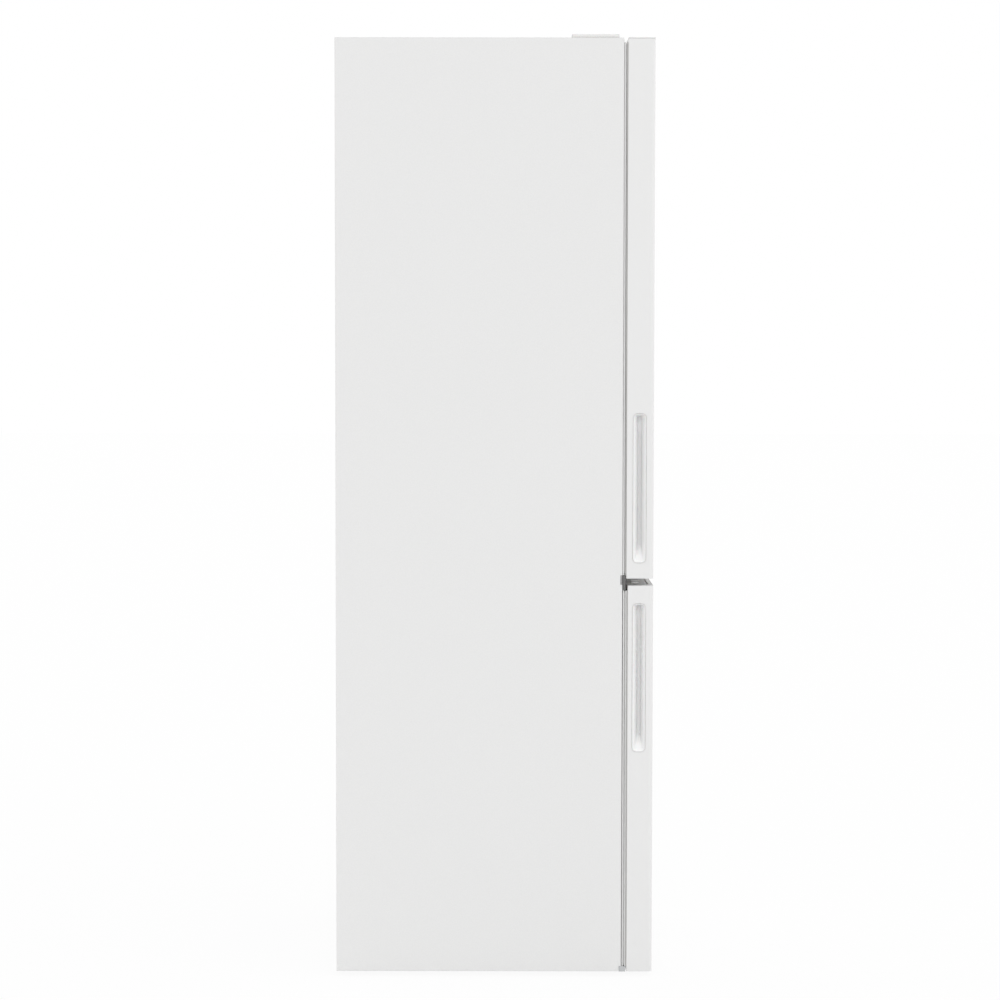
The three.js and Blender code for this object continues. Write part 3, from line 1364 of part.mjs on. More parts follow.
function addDoor(bodyName, door) {
  addPart(bodyName, `${bodyName}_skin`, doorSkin(door), FINISH.doorPaint);
  addPart(bodyName, `${bodyName}_foam`, doorFoam(door), FINISH.foam);
  addPart(bodyName, `${bodyName}_liner`, doorLiner(door), FINISH.linerPlastic);
  addPart(bodyName, `${bodyName}_top_cap`, doorCap(door, true), FINISH.trimPlastic);
  addPart(bodyName, `${bodyName}_bottom_cap`, doorCap(door, false), FINISH.trimPlastic);
  addPart(bodyName, `${bodyName}_seal`, doorSeal(door), FINISH.seal);
  addPart(bodyName, `${bodyName}_grip_left`, gripPocket(door, -1), FINISH.trimPlastic);
  addPart(bodyName, `${bodyName}_grip_right`, gripPocket(door, 1), FINISH.trimPlastic);
}

// ---------------------------------------------------------------- assembly

addPart('cabinet', 'outer_wrapper', outerWrapper(), FINISH.cabinetPaint);
addPart('cabinet', 'back_panel', backPanel(), FINISH.backSheet);
addPart('cabinet', 'base_plate', basePlate(), FINISH.zinc);
addPart('cabinet', 'bottom_rail', bottomRail(), FINISH.zinc);
addPart('cabinet', 'mullion_trim', mullionTrim(), FINISH.cabinetPaint);
addPart('cabinet', 'cabinet_foam', cabinetFoam(), FINISH.foam);
addPart('cabinet', 'fridge_liner', fridgeLiner(), FINISH.linerPlastic);
addPart('cabinet', 'freezer_liner', freezerLiner(), FINISH.linerPlastic);
addPart('cabinet', 'top_hinge', topHinge(), FINISH.zinc);
addPart('cabinet', 'mid_hinge', midHinge(), FINISH.zinc);
addPart('cabinet', 'bottom_hinge', bottomHinge(), FINISH.zinc);
const overHinge = hingeCover(1, HINGE_COVER_INSET, PIN_Y - ARM_RADIUS - 6);
const overBlank = hingeCover(-1, COVER_INSET, COVER_BACK - COVER_LENGTH);
addPart('cabinet', 'top_hinge_cover', overHinge, FINISH.trimPlastic);
addPart('cabinet', 'blank_hinge_cover', overBlank, FINISH.trimPlastic);

addPart('cabinet', 'compressor', compressor(), FINISH.blackPaint);
addPart('cabinet', 'compressor_plate', compressorPlate(), FINISH.zinc);
addPart('cabinet', 'condenser', condenser(), FINISH.blackPaint);
addPart('cabinet', 'drain_pan', drainPan(), FINISH.greyPlastic);
addPart('cabinet', 'machine_room_cover', machineRoomCover(), FINISH.backSheet);
addPart('cabinet', 'inlet_gland', inletGland(), FINISH.blackRubber);
addPart('cabinet', 'evaporator', evaporator(), FINISH.aluminium);
addPart('cabinet', 'air_cover', airCover(), FINISH.linerPlastic);
addPart('cabinet', 'fan_motor', fanMotor(), FINISH.greyPlastic);
addPart('cabinet', 'air_duct', airDuct(), FINISH.trimPlastic);
addPart('cabinet', 'control_housing', controlHousing(), FINISH.trimPlastic);
addPart('cabinet', 'lamp_lens', lampLens(), FINISH.lens);

[...SHELF_LEVELS, CRISPER_COVER_LEVEL].forEach((level, i) => {
  const name = i < SHELF_LEVELS.length ? `shelf_${i + 1}` : 'crisper_cover';
  addPart('cabinet', `${name}_glass`, shelfGlass(level), FINISH.glass);
  addPart('cabinet', `${name}_frame`, shelfFrame(level), FINISH.trimPlastic);
});

addPart('fan', 'fan', fan(), FINISH.greyPlastic);
addPart('control_knob', 'control_knob', controlKnob(), FINISH.trimPlastic);
for (const [name, side] of [['left', -1], ['right', 1]]) {
  addPart(`${name}_roller`, `rear_roller_${name}`, roller(side), FINISH.greyPlastic);
  addPart(`${name}_foot`, `levelling_foot_${name}`, levellingFoot(side), FINISH.greyPlastic);
}

const crisperHalf = INNER - RIB_DEPTH - DRAWER_SIDE_CLEARANCE;
addPart(
  'crisper_drawer', 'crisper_drawer',
  drawer(
    crisperHalf, SHELF_FRONT - CRISPER_FRONT_REACH, SHELF_BACK - CRISPER_BACK_GAP,
    CRISPER_FLOOR, CRISPER_HEIGHT, 0,
  ),
  FINISH.clearPlastic,
);
const freezerHalf = INNER - RIB_DEPTH - DRAWER_LIP - DRAWER_SIDE_CLEARANCE;
for (const { name, floor, high, rear } of FREEZER_DRAWERS) {
  const tub = drawer(freezerHalf, DRAWER_FACE, rear, floor, high - floor, DRAWER_LIP);
  addPart(name, name, tub, FINISH.clearPlastic);
}

addDoor('upper_door', upperDoor);
const binSeat = upperDoor.dikeLow + 2 * DIKE_DRAFT + DIKE_WIDTH + BIN_FLOOR_GAP;
const binPitch = (upperDoor.dikeHigh - 2 * DIKE_DRAFT - DIKE_WIDTH - binSeat) / BIN_COUNT;
for (let i = 0; i < BIN_COUNT; i++) {
  const height = i === 0 ? BOTTLE_BIN_HEIGHT : BIN_HEIGHT;
  const bin = doorBin(upperDoor, binSeat + i * binPitch, height);
  addPart('upper_door', `door_bin_${i + 1}`, bin, FINISH.clearPlastic);
}
addDoor('lower_door', lowerDoor);

export default refrigerator;
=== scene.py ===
"""A bottom freezer refrigerator, dressed for its picture.

Metres, +Z up. The doors face -Y and hang on the +X side, and the camera looks along +X at the other side.
"""

import json
import math

import bmesh
import bpy
from mathutils import Euler, Matrix, Vector


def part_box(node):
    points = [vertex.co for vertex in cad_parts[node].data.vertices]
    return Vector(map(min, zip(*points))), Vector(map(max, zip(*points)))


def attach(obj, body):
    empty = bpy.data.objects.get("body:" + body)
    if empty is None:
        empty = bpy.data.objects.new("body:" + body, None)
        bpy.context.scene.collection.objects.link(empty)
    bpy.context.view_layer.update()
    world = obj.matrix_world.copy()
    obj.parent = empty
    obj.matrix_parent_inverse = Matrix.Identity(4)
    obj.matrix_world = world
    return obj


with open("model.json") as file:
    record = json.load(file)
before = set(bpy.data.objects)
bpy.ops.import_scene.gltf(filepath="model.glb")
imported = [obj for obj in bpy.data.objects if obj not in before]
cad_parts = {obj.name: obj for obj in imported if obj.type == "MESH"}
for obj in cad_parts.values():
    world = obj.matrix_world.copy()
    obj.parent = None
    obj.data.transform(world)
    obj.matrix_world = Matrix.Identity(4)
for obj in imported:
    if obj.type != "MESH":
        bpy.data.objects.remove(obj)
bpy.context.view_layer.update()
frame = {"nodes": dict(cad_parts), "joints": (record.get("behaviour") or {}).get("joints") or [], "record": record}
MM = 0.001

# sizes that the solids were made with
SEAL_FOOT = 1.8 * MM
SEAL_MAGNET = 3.2 * MM
HINGE_PLATE = 3 * MM
HINGE_ARM = 4 * MM
SIDE_WALL = 50 * MM
SEAT = 0.3 * MM

FRONT, REAR = (0, -1, 0), (0, 1, 0)
LEFT, RIGHT = (-1, 0, 0), (1, 0, 0)
UP, DOWN = (0, 0, 1), (0, 0, -1)

# ---------------------------------------------------------------- colours

WHITE_PAINT = (0.800, 0.800, 0.797)
DOOR_WHITE = (0.805, 0.805, 0.802)
GRIP_WHITE = (0.895, 0.895, 0.893)
# grey of the painted shade along a grip's seam and in its groove
PAINTED_SHADE_GREY = (0.45, 0.45, 0.45)
PRIMER_GREY = (0.62, 0.62, 0.61)
TRIM_WHITE = (0.815, 0.815, 0.805)
LINER_WHITE = (0.92, 0.92, 0.91)
AGED_WHITE = (0.78, 0.76, 0.70)
SEAL_GREY = (0.75, 0.75, 0.745)
SEAL_DUST = (0.82, 0.82, 0.815)
# dark colour that painted shade in creases and recesses, and along a seal's foot, is mixed towards
PAINTED_SHADE_DARK = (0.30, 0.29, 0.27)
ZINC = (0.495, 0.505, 0.51)
ZINC_DARK = (0.36, 0.37, 0.38)
ZINC_BRIGHT = (0.68, 0.69, 0.70)
PLATED_STEEL = (0.43, 0.44, 0.45)
STEEL_BRIGHT = (0.66, 0.66, 0.66)
FOAM_YELLOW = (0.80, 0.76, 0.64)
FOAM_BROWN = (0.66, 0.58, 0.42)
CLEAR_TINT = (0.975, 0.982, 0.986)
GLASS_FACE = (0.93, 0.98, 0.96)
GLASS_EDGE = (0.38, 0.72, 0.60)
LENS_WHITE = (0.93, 0.92, 0.87)
BLACK_PAINT = (0.018, 0.018, 0.020)
GREY_DUST = (0.20, 0.19, 0.18)
ALUMINIUM = (0.62, 0.64, 0.66)
ALUMINIUM_DULL = (0.46, 0.48, 0.50)
SATIN = (0.70, 0.71, 0.72)
MOULDED_GREY = (0.24, 0.25, 0.26)
RUBBER_BLACK = (0.020, 0.020, 0.021)
COPPER = (0.72, 0.36, 0.22)
COPPER_TARNISH = (0.30, 0.14, 0.09)
# dark grey of the notch plugs, painted shade of the notches
NOTCH_SHADE_GREY = (0.41, 0.41, 0.41)
# dark grey of the stop between the seals, painted shade of the void there
GAP_SHADE_GREY = (0.15, 0.15, 0.15)
DIAL_INK = (0.10, 0.12, 0.16)
FLOOR_GREY = (0.80, 0.80, 0.80)
WHITE_LIGHT = (1, 1, 1)


# ---------------------------------------------------------------- shader maths

class Wire:
    """A value in a node tree. Arithmetic on it adds Math nodes."""

    def __init__(self, nodes, socket):
        self.nodes = nodes
        self.socket = socket

    def __add__(self, other):
        return self.nodes.math("ADD", self, other)

    def __sub__(self, other):
        return self.nodes.math("SUBTRACT", self, other)

    def __rsub__(self, other):
        return self.nodes.math("SUBTRACT", other, self)

    def __mul__(self, other):
        return self.nodes.math("MULTIPLY", self, other)

    def __gt__(self, other):
        return self.nodes.math("GREATER_THAN", self, other)

    __radd__ = __add__
    __rmul__ = __mul__


class Nodes:
    """A node tree and the shader that its values lead to."""

    def __init__(self, tree, shader):
        self.tree = tree
        self.shader = tree.nodes[shader]

    def set(self, sockets):
        """Puts values or wires on the shader's own sockets."""
        for name, value in sockets.items():
            self.put(self.shader.inputs[name], value)

    def put(self, socket, value):
        if isinstance(value, Wire):
            self.tree.links.new(value.socket, socket)
        elif isinstance(value, tuple) and socket.type == "RGBA":
            socket.default_value = (*value, 1)
        else:
            socket.default_value = value

    def node(self, kind, settings=None, sockets=None, output=0):
        """Adds one node: its settings first, then the values or wires of its sockets."""
        made = self.tree.nodes.new(kind)
        for name, value in (settings or {}).items():
            if name == "stops":
                self.set_stops(made.color_ramp, value)
            else:
                setattr(made, name, value)
        for name, value in (sockets or {}).items():
            self.put(made.inputs[name], value)
        return Wire(self, made.outputs[output])

    def set_stops(self, ramp, stops):
        first, *others = stops
        ramp.elements.remove(ramp.elements[1])
        ramp.elements[0].position = first[0]
        ramp.elements[0].color = (*first[1], 1)
        for position, colour in others:
            ramp.elements.new(position).color = (*colour, 1)

    def math(self, operation, *values):
        return self.node("ShaderNodeMath", {"operation": operation}, dict(enumerate(values)))


class Finish(Nodes):
    """A material, and the patterns that give it its look."""

    def __init__(self, name, constants=None):
        self.material = bpy.data.materials.new(name)
        self.material.use_nodes = True
        super().__init__(self.material.node_tree, "Principled BSDF")
        self.rounded = None
        self.set(constants or {})

    def vector(self, operation, *values, output=0):
        return self.node("ShaderNodeVectorMath", {"operation": operation}, dict(enumerate(values)), output)

    def place(self, stretch=(1, 1, 1)):
        """The point on the piece in metres, stretched where the grain has a direction."""
        spot = self.node("ShaderNodeTexCoord", output="Object")
        if stretch == (1, 1, 1):
            return spot
        return self.vector("MULTIPLY", spot, stretch)

    def along(self, axis):
        """How far the point is along one axis, in metres."""
        return self.node("ShaderNodeSeparateXYZ", None, {0: self.place()}, "XYZ".index(axis))

    def normal(self, axis):
        """How much the surface faces along one axis, from -1 to 1."""
        facing = self.node("ShaderNodeTexCoord", output="Normal")
        return self.node("ShaderNodeSeparateXYZ", None, {0: facing}, "XYZ".index(axis))

    def noise(self, scale, detail, stretch=(1, 1, 1)):
        return self.node("ShaderNodeTexNoise", None, {
            "Vector": self.place(stretch),
            "Scale": scale,
            "Detail": detail,
        })

    def cells(self, scale, output="Distance"):
        return self.node("ShaderNodeTexVoronoi", None, {"Vector": self.place(), "Scale": scale}, output)

    def waves(self, scale, axis):
        sockets = {"Vector": self.place(), "Scale": scale}
        return self.node("ShaderNodeTexWave", {"bands_direction": axis}, sockets, 1)

    def remap(self, value, low, high):
        """0 where the value is low, 1 where it is high, and even in between."""
        return self.node("ShaderNodeMapRange", None, {0: value, 1: low, 2: high})

    def blend(self, mask, under, over):
        """A colour that goes from under to over as the mask goes from 0 to 1."""
        return self.node("ShaderNodeMix", {"data_type": "RGBA"}, {0: mask, 6: under, 7: over}, 2)

    def shade(self, colour, amount):
        """A colour made lighter or darker by an amount round 1."""
        return self.node("ShaderNodeVectorMath", {"operation": "SCALE"}, {0: colour, "Scale": amount})

    def edges(self, radius):
        """1 along edges and corners, 0 on flat faces. The relief then rounds them by the same radius."""
        self.rounded = self.node("ShaderNodeBevel", {"samples": 2}, {"Radius": radius})
        true = self.node("ShaderNodeNewGeometry", output="Normal")
        likeness = self.vector("DOT_PRODUCT", self.rounded, true, output="Value")
        return self.remap(likeness, 0.985, 0.86)

    def shade_in_creases(self, reach):
        """1 deep in corners where the occlusion node finds shade, 0 in the open. Colour mixed in by it is painted
        shade.
        """
        openness = self.node("ShaderNodeAmbientOcclusion", {"samples": 2}, {"Distance": reach}, "AO")
        return self.remap(openness, 0.85, 0.25)

    def worn(self, radius, patch_scale=45):
        """Edges, broken up in patches as wear is."""
        return self.edges(radius) * self.remap(self.noise(patch_scale, 2), 0.42, 0.62)

    def relief(self, height, depth, strength):
        """Bumps of a real depth in metres."""
        sockets = {"Height": height, "Distance": depth, "Strength": strength}
        if self.rounded:
            sockets["Normal"] = self.rounded
        self.set({"Normal": self.node("ShaderNodeBump", None, sockets)})


# ---------------------------------------------------------------- finishes

def cabinet_paint():
    """Pre-coated sheet with a fine pebble in it, worn a little along its edges."""
    coat = Finish("cabinet_paint", {"Specular IOR Level": 0.35})
    speckle = coat.noise(520, 0)
    cloud = coat.noise(3.2, 1)
    pebble = coat.noise(900, 1)
    tone = 1 + (speckle - 0.5) * 0.05 + (cloud - 0.5) * 0.012
    smears = coat.noise(14, 2, (1, 0.35, 1))
    coat.set({
        "Base Color": coat.blend(coat.worn(1.2 * MM) * 0.35, coat.shade(WHITE_PAINT, tone), PRIMER_GREY),
        "Roughness": 0.40 + (smears - 0.5) * 0.14 + speckle * 0.04,
    })
    coat.relief(pebble, 0.08 * MM, 0.55)
    return coat.material


def door_paint():
    """Smooth glossier sheet with a faint orange peel and the marks of hands."""
    coat = Finish("door_paint", {"Specular IOR Level": 0.45, "Coat Roughness": 0.12})
    peel = coat.noise(210, 1)
    cloud = coat.noise(2.6, 1)
    speckle = coat.noise(700, 0)
    tone = 1 + (cloud - 0.5) * 0.012 + (speckle - 0.5) * 0.022
    prints = coat.remap(coat.noise(24, 3, (1, 1, 0.6)), 0.50, 0.72)
    coat.set({
        "Base Color": coat.blend(coat.worn(1.0 * MM) * 0.3, coat.shade(DOOR_WHITE, tone), PRIMER_GREY),
        "Roughness": 0.29 + prints * 0.07 + (peel - 0.5) * 0.05,
        "Coat Weight": 0.30 - prints * 0.08,
    })
    coat.relief(peel, 0.05 * MM, 0.5)
    return coat.material


def zinc_sheet():
    """Galvanised sheet with its crystal spangle and rolling marks."""
    sheet = Finish("zinc_sheet", {"Metallic": 1.0})
    crystal = sheet.node("ShaderNodeSeparateXYZ", None, {0: sheet.cells(95, "Color")})
    rolling = sheet.noise(30, 3, (1, 1, 0.04))
    stain = sheet.remap(sheet.noise(6, 5), 0.52, 0.75)
    colour = sheet.node("ShaderNodeValToRGB", {"stops": (
        (0.0, ZINC_DARK),
        (0.45, ZINC),
        (1.0, ZINC_BRIGHT),
    )}, {0: 0.25 + crystal * 0.35 + (rolling - 0.5) * 0.25})
    colour = sheet.blend(stain * 0.25, colour, ZINC_DARK)
    sheet.set({
        "Base Color": sheet.blend(sheet.edges(1.2 * MM) * 0.4, colour, ZINC_BRIGHT),
        "Roughness": 0.36 + crystal * 0.14 + stain * 0.16,
    })
    sheet.relief(crystal * 0.5 + rolling, 0.05 * MM, 0.5)
    return sheet.material


def hinge_steel():
    """Pressed and plated hinge plate, brushed along its length and bright at the edges."""
    steel = Finish("hinge_steel", {"Metallic": 1.0})
    brushing = steel.noise(420, 3, (1, 0.06, 1))
    blotch = steel.noise(38, 4)
    bright = steel.worn(0.8 * MM, 120)
    colour = steel.shade(PLATED_STEEL, 0.86 + brushing * 0.26 + (blotch - 0.5) * 0.14)
    steel.set({
        "Base Color": steel.blend(bright * 0.7, colour, STEEL_BRIGHT),
        "Roughness": 0.30 + brushing * 0.16 + (blotch - 0.5) * 0.1 - bright * 0.08,
    })
    steel.relief(brushing, 0.03 * MM, 0.6)
    return steel.material


def moulded_white(name, colour=TRIM_WHITE, crease_shade_weight=0.35, grip=None):
    """Injection-moulded white plastic with a spark-eroded grain, polished edges and painted shade in its corners.

    Given a grip, it also paints shade along the seam round the grip's mouth and in the bottom of its groove.
    """
    plastic = Finish(name, {"Subsurface Weight": 0.04, "Subsurface Scale": 0.002})
    grain = plastic.noise(1500, 1)
    flow = plastic.noise(18, 3)
    aged = plastic.remap(plastic.noise(4, 3), 0.45, 0.8)
    polished = plastic.edges(0.8 * MM)
    tone = 1 + (grain - 0.5) * 0.03 + (flow - 0.5) * 0.015
    surface = plastic.blend(aged * 0.10, plastic.shade(colour, tone), AGED_WHITE)
    # painted shade in the corners, where the occlusion node finds them
    surface = plastic.blend(plastic.shade_in_creases(5 * MM) * crease_shade_weight, surface, PAINTED_SHADE_DARK)
    if grip:
        # painted shade along the seam round the mouth and deep in the groove
        surface = plastic.blend(mouth_seam_shade(plastic, grip) * 0.28, surface, PAINTED_SHADE_GREY)
        surface = plastic.blend(groove_shade(plastic, grip) * 0.22, surface, PAINTED_SHADE_GREY)
    plastic.set({
        "Base Color": surface,
        "Roughness": 0.44 + (grain - 0.5) * 0.12 + (flow - 0.5) * 0.08 - polished * 0.14,
    })
    plastic.relief(grain, 0.04 * MM, 0.5)
    return plastic.material


def mouth_seam_shade(plastic, grip):
    """The seam between a grip and the door sheet: a line of painted shade that follows the grip's mouth."""
    low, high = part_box(grip)
    centre = (low + high) / 2
    half = (high - low) / 2
    corner, line, rim = 9 * MM, 1.1 * MM, 0.4 * MM
    across = plastic.math("ABSOLUTE", plastic.along("Y") - centre.y) - (half.y - corner)
    upright = plastic.math("ABSOLUTE", plastic.along("Z") - centre.z) - (half.z - corner)
    across = plastic.math("MAXIMUM", across, 0.0)
    upright = plastic.math("MAXIMUM", upright, 0.0)
    reach = plastic.math("SQRT", across * across + upright * upright)
    outer = plastic.math("ABSOLUTE", plastic.along("X")) > half.x + abs(centre.x) - rim
    return (reach > corner - line) * outer


def groove_shade(plastic, grip):
    """The deep part of a grip, darkened with painted shade, less so at its upper end."""
    low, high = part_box(grip)
    outer = max(abs(low.x), abs(high.x))
    depth = outer - plastic.math("ABSOLUTE", plastic.along("X"))
    below_end = high.z - plastic.along("Z")
    return plastic.remap(depth, 11 * MM, 19 * MM) * plastic.remap(below_end, 14 * MM, 50 * MM)


def liner():
    """Glossy vacuum-formed sheet, a little wavy and thin at its corners."""
    sheet = Finish("liner", {
        "Specular IOR Level": 0.5,
        "Subsurface Weight": 0.05,
        "Subsurface Scale": 0.003,
    })
    wavy = sheet.noise(22, 2)
    chill = sheet.noise(160, 3)
    thin = sheet.edges(3 * MM)
    tone = 1 + (wavy - 0.5) * 0.02 + (chill - 0.5) * 0.01
    sheet.set({
        "Base Color": sheet.blend(thin * 0.12, sheet.shade(LINER_WHITE, tone), AGED_WHITE),
        "Roughness": 0.20 + chill * 0.1 + (wavy - 0.5) * 0.06 + thin * 0.08,
    })
    sheet.relief(wavy, 0.25 * MM, 0.35)
    return sheet.material


def foam():
    """Foamed-in-place insulation: open cells and darker flow lines."""
    block = Finish("foam", {"Specular IOR Level": 0.15})
    cell = block.cells(420)
    flow = block.noise(24, 5, (1, 1, 0.4))
    colour = block.blend(block.remap(flow, 0.45, 0.7) * 0.5, FOAM_YELLOW, FOAM_BROWN)
    block.set({
        "Base Color": block.shade(colour, 0.86 + cell * 0.3),
        "Roughness": 0.84 + (flow - 0.5) * 0.2,
    })
    block.relief(cell + flow * 0.5, 0.5 * MM, 0.7)
    return block.material


def seal_rubber(name="seal_rubber", seal=None):
    """Soft pale grey seal with random dust, and painted shade in its folds. Given a seal, it also paints shade
    along that seal's foot.
    """
    strip = Finish(name, {"Specular IOR Level": 0.3, "Sheen Weight": 0.1})
    dust = strip.remap(strip.noise(130, 4), 0.40, 0.68)
    drag = strip.noise(700, 2, (1, 1, 0.1))
    worn = strip.edges(1.0 * MM)
    colour = strip.blend(dust * 0.5, strip.shade(SEAL_GREY, 0.96 + drag * 0.08), SEAL_DUST)
    colour = strip.blend(worn * 0.3, colour, SEAL_DUST)
    if seal:
        # painted shade along the seal's foot, in the gap beside the door
        beyond_foot = strip.along("Y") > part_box(seal)[0].y + SEAL_FOOT
        colour = strip.blend((1 - beyond_foot) * 0.55, colour, PAINTED_SHADE_DARK)
    strip.set({
        # painted shade in the seal's folds
        "Base Color": strip.blend(strip.shade_in_creases(2.2 * MM) * 0.12, colour, PAINTED_SHADE_DARK),
        "Roughness": 0.62 + dust * 0.2 + (drag - 0.5) * 0.08,
    })
    strip.relief(drag, 0.08 * MM, 0.5)
    return strip.material


def clear_plastic():
    """Clear moulded polystyrene with flow marks, faint scratches and frosted edges."""
    tub = Finish("clear_plastic", {"Transmission Weight": 0.86, "IOR": 1.47})
    flow = tub.noise(15, 3)
    scratches = tub.remap(tub.noise(260, 4, (0.1, 1, 1)), 0.56, 0.70)
    frosted = tub.edges(1.2 * MM)
    tub.set({
        "Base Color": tub.shade(CLEAR_TINT, 0.98 + flow * 0.04 - frosted * 0.06),
        "Roughness": 0.10 + (flow - 0.5) * 0.05 + scratches * 0.12 + frosted * 0.25,
    })
    tub.relief(flow + scratches * 0.1, 0.15 * MM, 0.4)
    return tub.material


def shelf_glass():
    """Toughened glass: clear faces with wiping marks, and green ground edges."""
    pane = Finish("shelf_glass", {"Transmission Weight": 0.95, "IOR": 1.5})
    side = 1 - pane.remap(pane.math("ABSOLUTE", pane.normal("Z")), 0.3, 0.7)
    wiped = pane.noise(18, 5, (1, 0.3, 1))
    ground = pane.noise(900, 2)
    pane.set({
        "Base Color": pane.blend(side, GLASS_FACE, GLASS_EDGE),
        "Roughness": 0.02 + pane.remap(wiped, 0.5, 0.8) * 0.06 + side * (0.25 + ground * 0.2),
    })
    pane.relief(side * ground, 0.05 * MM, 0.4)
    return pane.material


def lamp_lens():
    """Frosted lamp cover with fine prisms across it."""
    cover = Finish("lamp_lens", {"Transmission Weight": 0.45, "IOR": 1.46})
    prisms = cover.waves(80, "X")
    frost = cover.noise(900, 2)
    cover.set({
        "Base Color": cover.shade(LENS_WHITE, 0.95 + frost * 0.06 + prisms * 0.03),
        "Roughness": 0.32 + frost * 0.2 - prisms * 0.05,
    })
    cover.relief(prisms + frost * 0.1, 0.4 * MM, 0.6)
    return cover.material


def black_paint():
    """Baked black paint on the compressor and condenser, chipped, and dusty where it faces up."""
    coat = Finish("black_paint", {"Specular IOR Level": 0.5})
    peel = coat.noise(320, 2)
    settled = coat.remap(coat.normal("Z"), 0.25, 0.95) * coat.remap(coat.noise(60, 4), 0.35, 0.7)
    chipped = coat.edges(0.8 * MM) * (coat.noise(160, 3) > 0.60)
    colour = coat.blend(settled * 0.55, coat.shade(BLACK_PAINT, 0.8 + peel * 0.5), GREY_DUST)
    coat.set({
        "Base Color": coat.blend(chipped * 0.6, colour, PLATED_STEEL),
        "Roughness": 0.26 + peel * 0.12 + settled * 0.4,
    })
    coat.relief(peel, 0.12 * MM, 0.5)
    return coat.material


def fin_aluminium():
    """Mill-finish aluminium with drawing lines and a dull bloom."""
    metal = Finish("fin_aluminium", {"Metallic": 1.0})
    drawing = metal.noise(380, 3, (1, 1, 0.08))
    bloom = metal.remap(metal.noise(26, 4), 0.42, 0.70)
    colour = metal.blend(bloom * 0.6, metal.shade(ALUMINIUM, 0.9 + drawing * 0.2), ALUMINIUM_DULL)
    metal.set({
        "Base Color": metal.blend(metal.edges(0.6 * MM) * 0.4, colour, ZINC_BRIGHT),
        "Roughness": 0.27 + drawing * 0.12 + bloom * 0.18,
    })
    metal.relief(drawing, 0.03 * MM, 0.5)
    return metal.material


def satin_strip():
    """Brushed satin strip on the fronts of shelves, bins and drawers."""
    strip = Finish("satin_strip", {"Metallic": 0.85})
    brushing = strip.noise(520, 3, (0.04, 1, 1))
    dull = strip.noise(30, 3)
    strip.set({
        "Base Color": strip.shade(SATIN, 0.92 + brushing * 0.14 + (dull - 0.5) * 0.06),
        "Roughness": 0.26 + brushing * 0.14 + (dull - 0.5) * 0.08 - strip.edges(0.5 * MM) * 0.06,
    })
    strip.relief(brushing, 0.02 * MM, 0.5)
    return strip.material


def grey_plastic():
    """Grey moulded plastic of the feet, rollers, fan and pan, dusty and scuffed pale at its edges."""
    plastic = Finish("grey_plastic")
    grain = plastic.noise(1100, 2)
    flow = plastic.noise(30, 3)
    scuffed = plastic.worn(0.9 * MM, 90)
    colour = plastic.shade(MOULDED_GREY, 0.88 + grain * 0.16 + (flow - 0.5) * 0.12)
    colour = plastic.blend(scuffed * 0.45, colour, PRIMER_GREY)
    dust = plastic.remap(plastic.normal("Z"), 0.4, 1.0) * plastic.remap(plastic.noise(70, 4), 0.4, 0.7)
    plastic.set({
        "Base Color": plastic.blend(dust * 0.25, colour, AGED_WHITE),
        "Roughness": 0.50 + grain * 0.12 + dust * 0.2 - scuffed * 0.1,
    })
    plastic.relief(grain, 0.05 * MM, 0.5)
    return plastic.material


def rubber(name, colour):
    """Matt rubber with a bloom of dust."""
    sheet = Finish(name, {"Specular IOR Level": 0.3})
    grain = sheet.noise(800, 3)
    bloom = sheet.remap(sheet.noise(90, 4), 0.45, 0.75)
    dust = bloom * 0.3 + sheet.edges(0.6 * MM) * 0.2
    sheet.set({
        "Base Color": sheet.blend(dust, sheet.shade(colour, 0.75 + grain * 0.5), GREY_DUST),
        "Roughness": 0.66 + grain * 0.14 + bloom * 0.1,
    })
    sheet.relief(grain, 0.08 * MM, 0.6)
    return sheet.material


def copper():
    """Drawn copper tube, browned in patches."""
    metal = Finish("copper", {"Metallic": 1.0})
    drawing = metal.noise(300, 3)
    brown = metal.remap(metal.noise(35, 5), 0.44, 0.70)
    metal.set({
        "Base Color": metal.blend(brown * 0.8, metal.shade(COPPER, 0.88 + drawing * 0.2), COPPER_TARNISH),
        "Roughness": 0.24 + drawing * 0.14 + brown * 0.24,
    })
    metal.relief(drawing, 0.03 * MM, 0.4)
    return metal.material


def screw_steel():
    """Bright zinc-plated screw head with painted shade in its driver cross, and scuffed by the driver."""
    steel = Finish("screw_steel", {"Metallic": 1.0})
    turned = steel.noise(1800, 2)
    scuffed = steel.edges(0.3 * MM)
    colour = steel.shade(ZINC, 0.9 + turned * 0.25)
    colour = steel.blend(scuffed * 0.6, colour, STEEL_BRIGHT)
    steel.set({
        # painted shade in the sunk cross, where the occlusion node finds it
        "Base Color": steel.blend(steel.shade_in_creases(1.5 * MM) * 0.8, colour, PAINTED_SHADE_DARK),
        "Roughness": 0.26 + turned * 0.18 + scuffed * 0.08,
    })
    steel.relief(turned, 0.02 * MM, 0.5)
    return steel.material


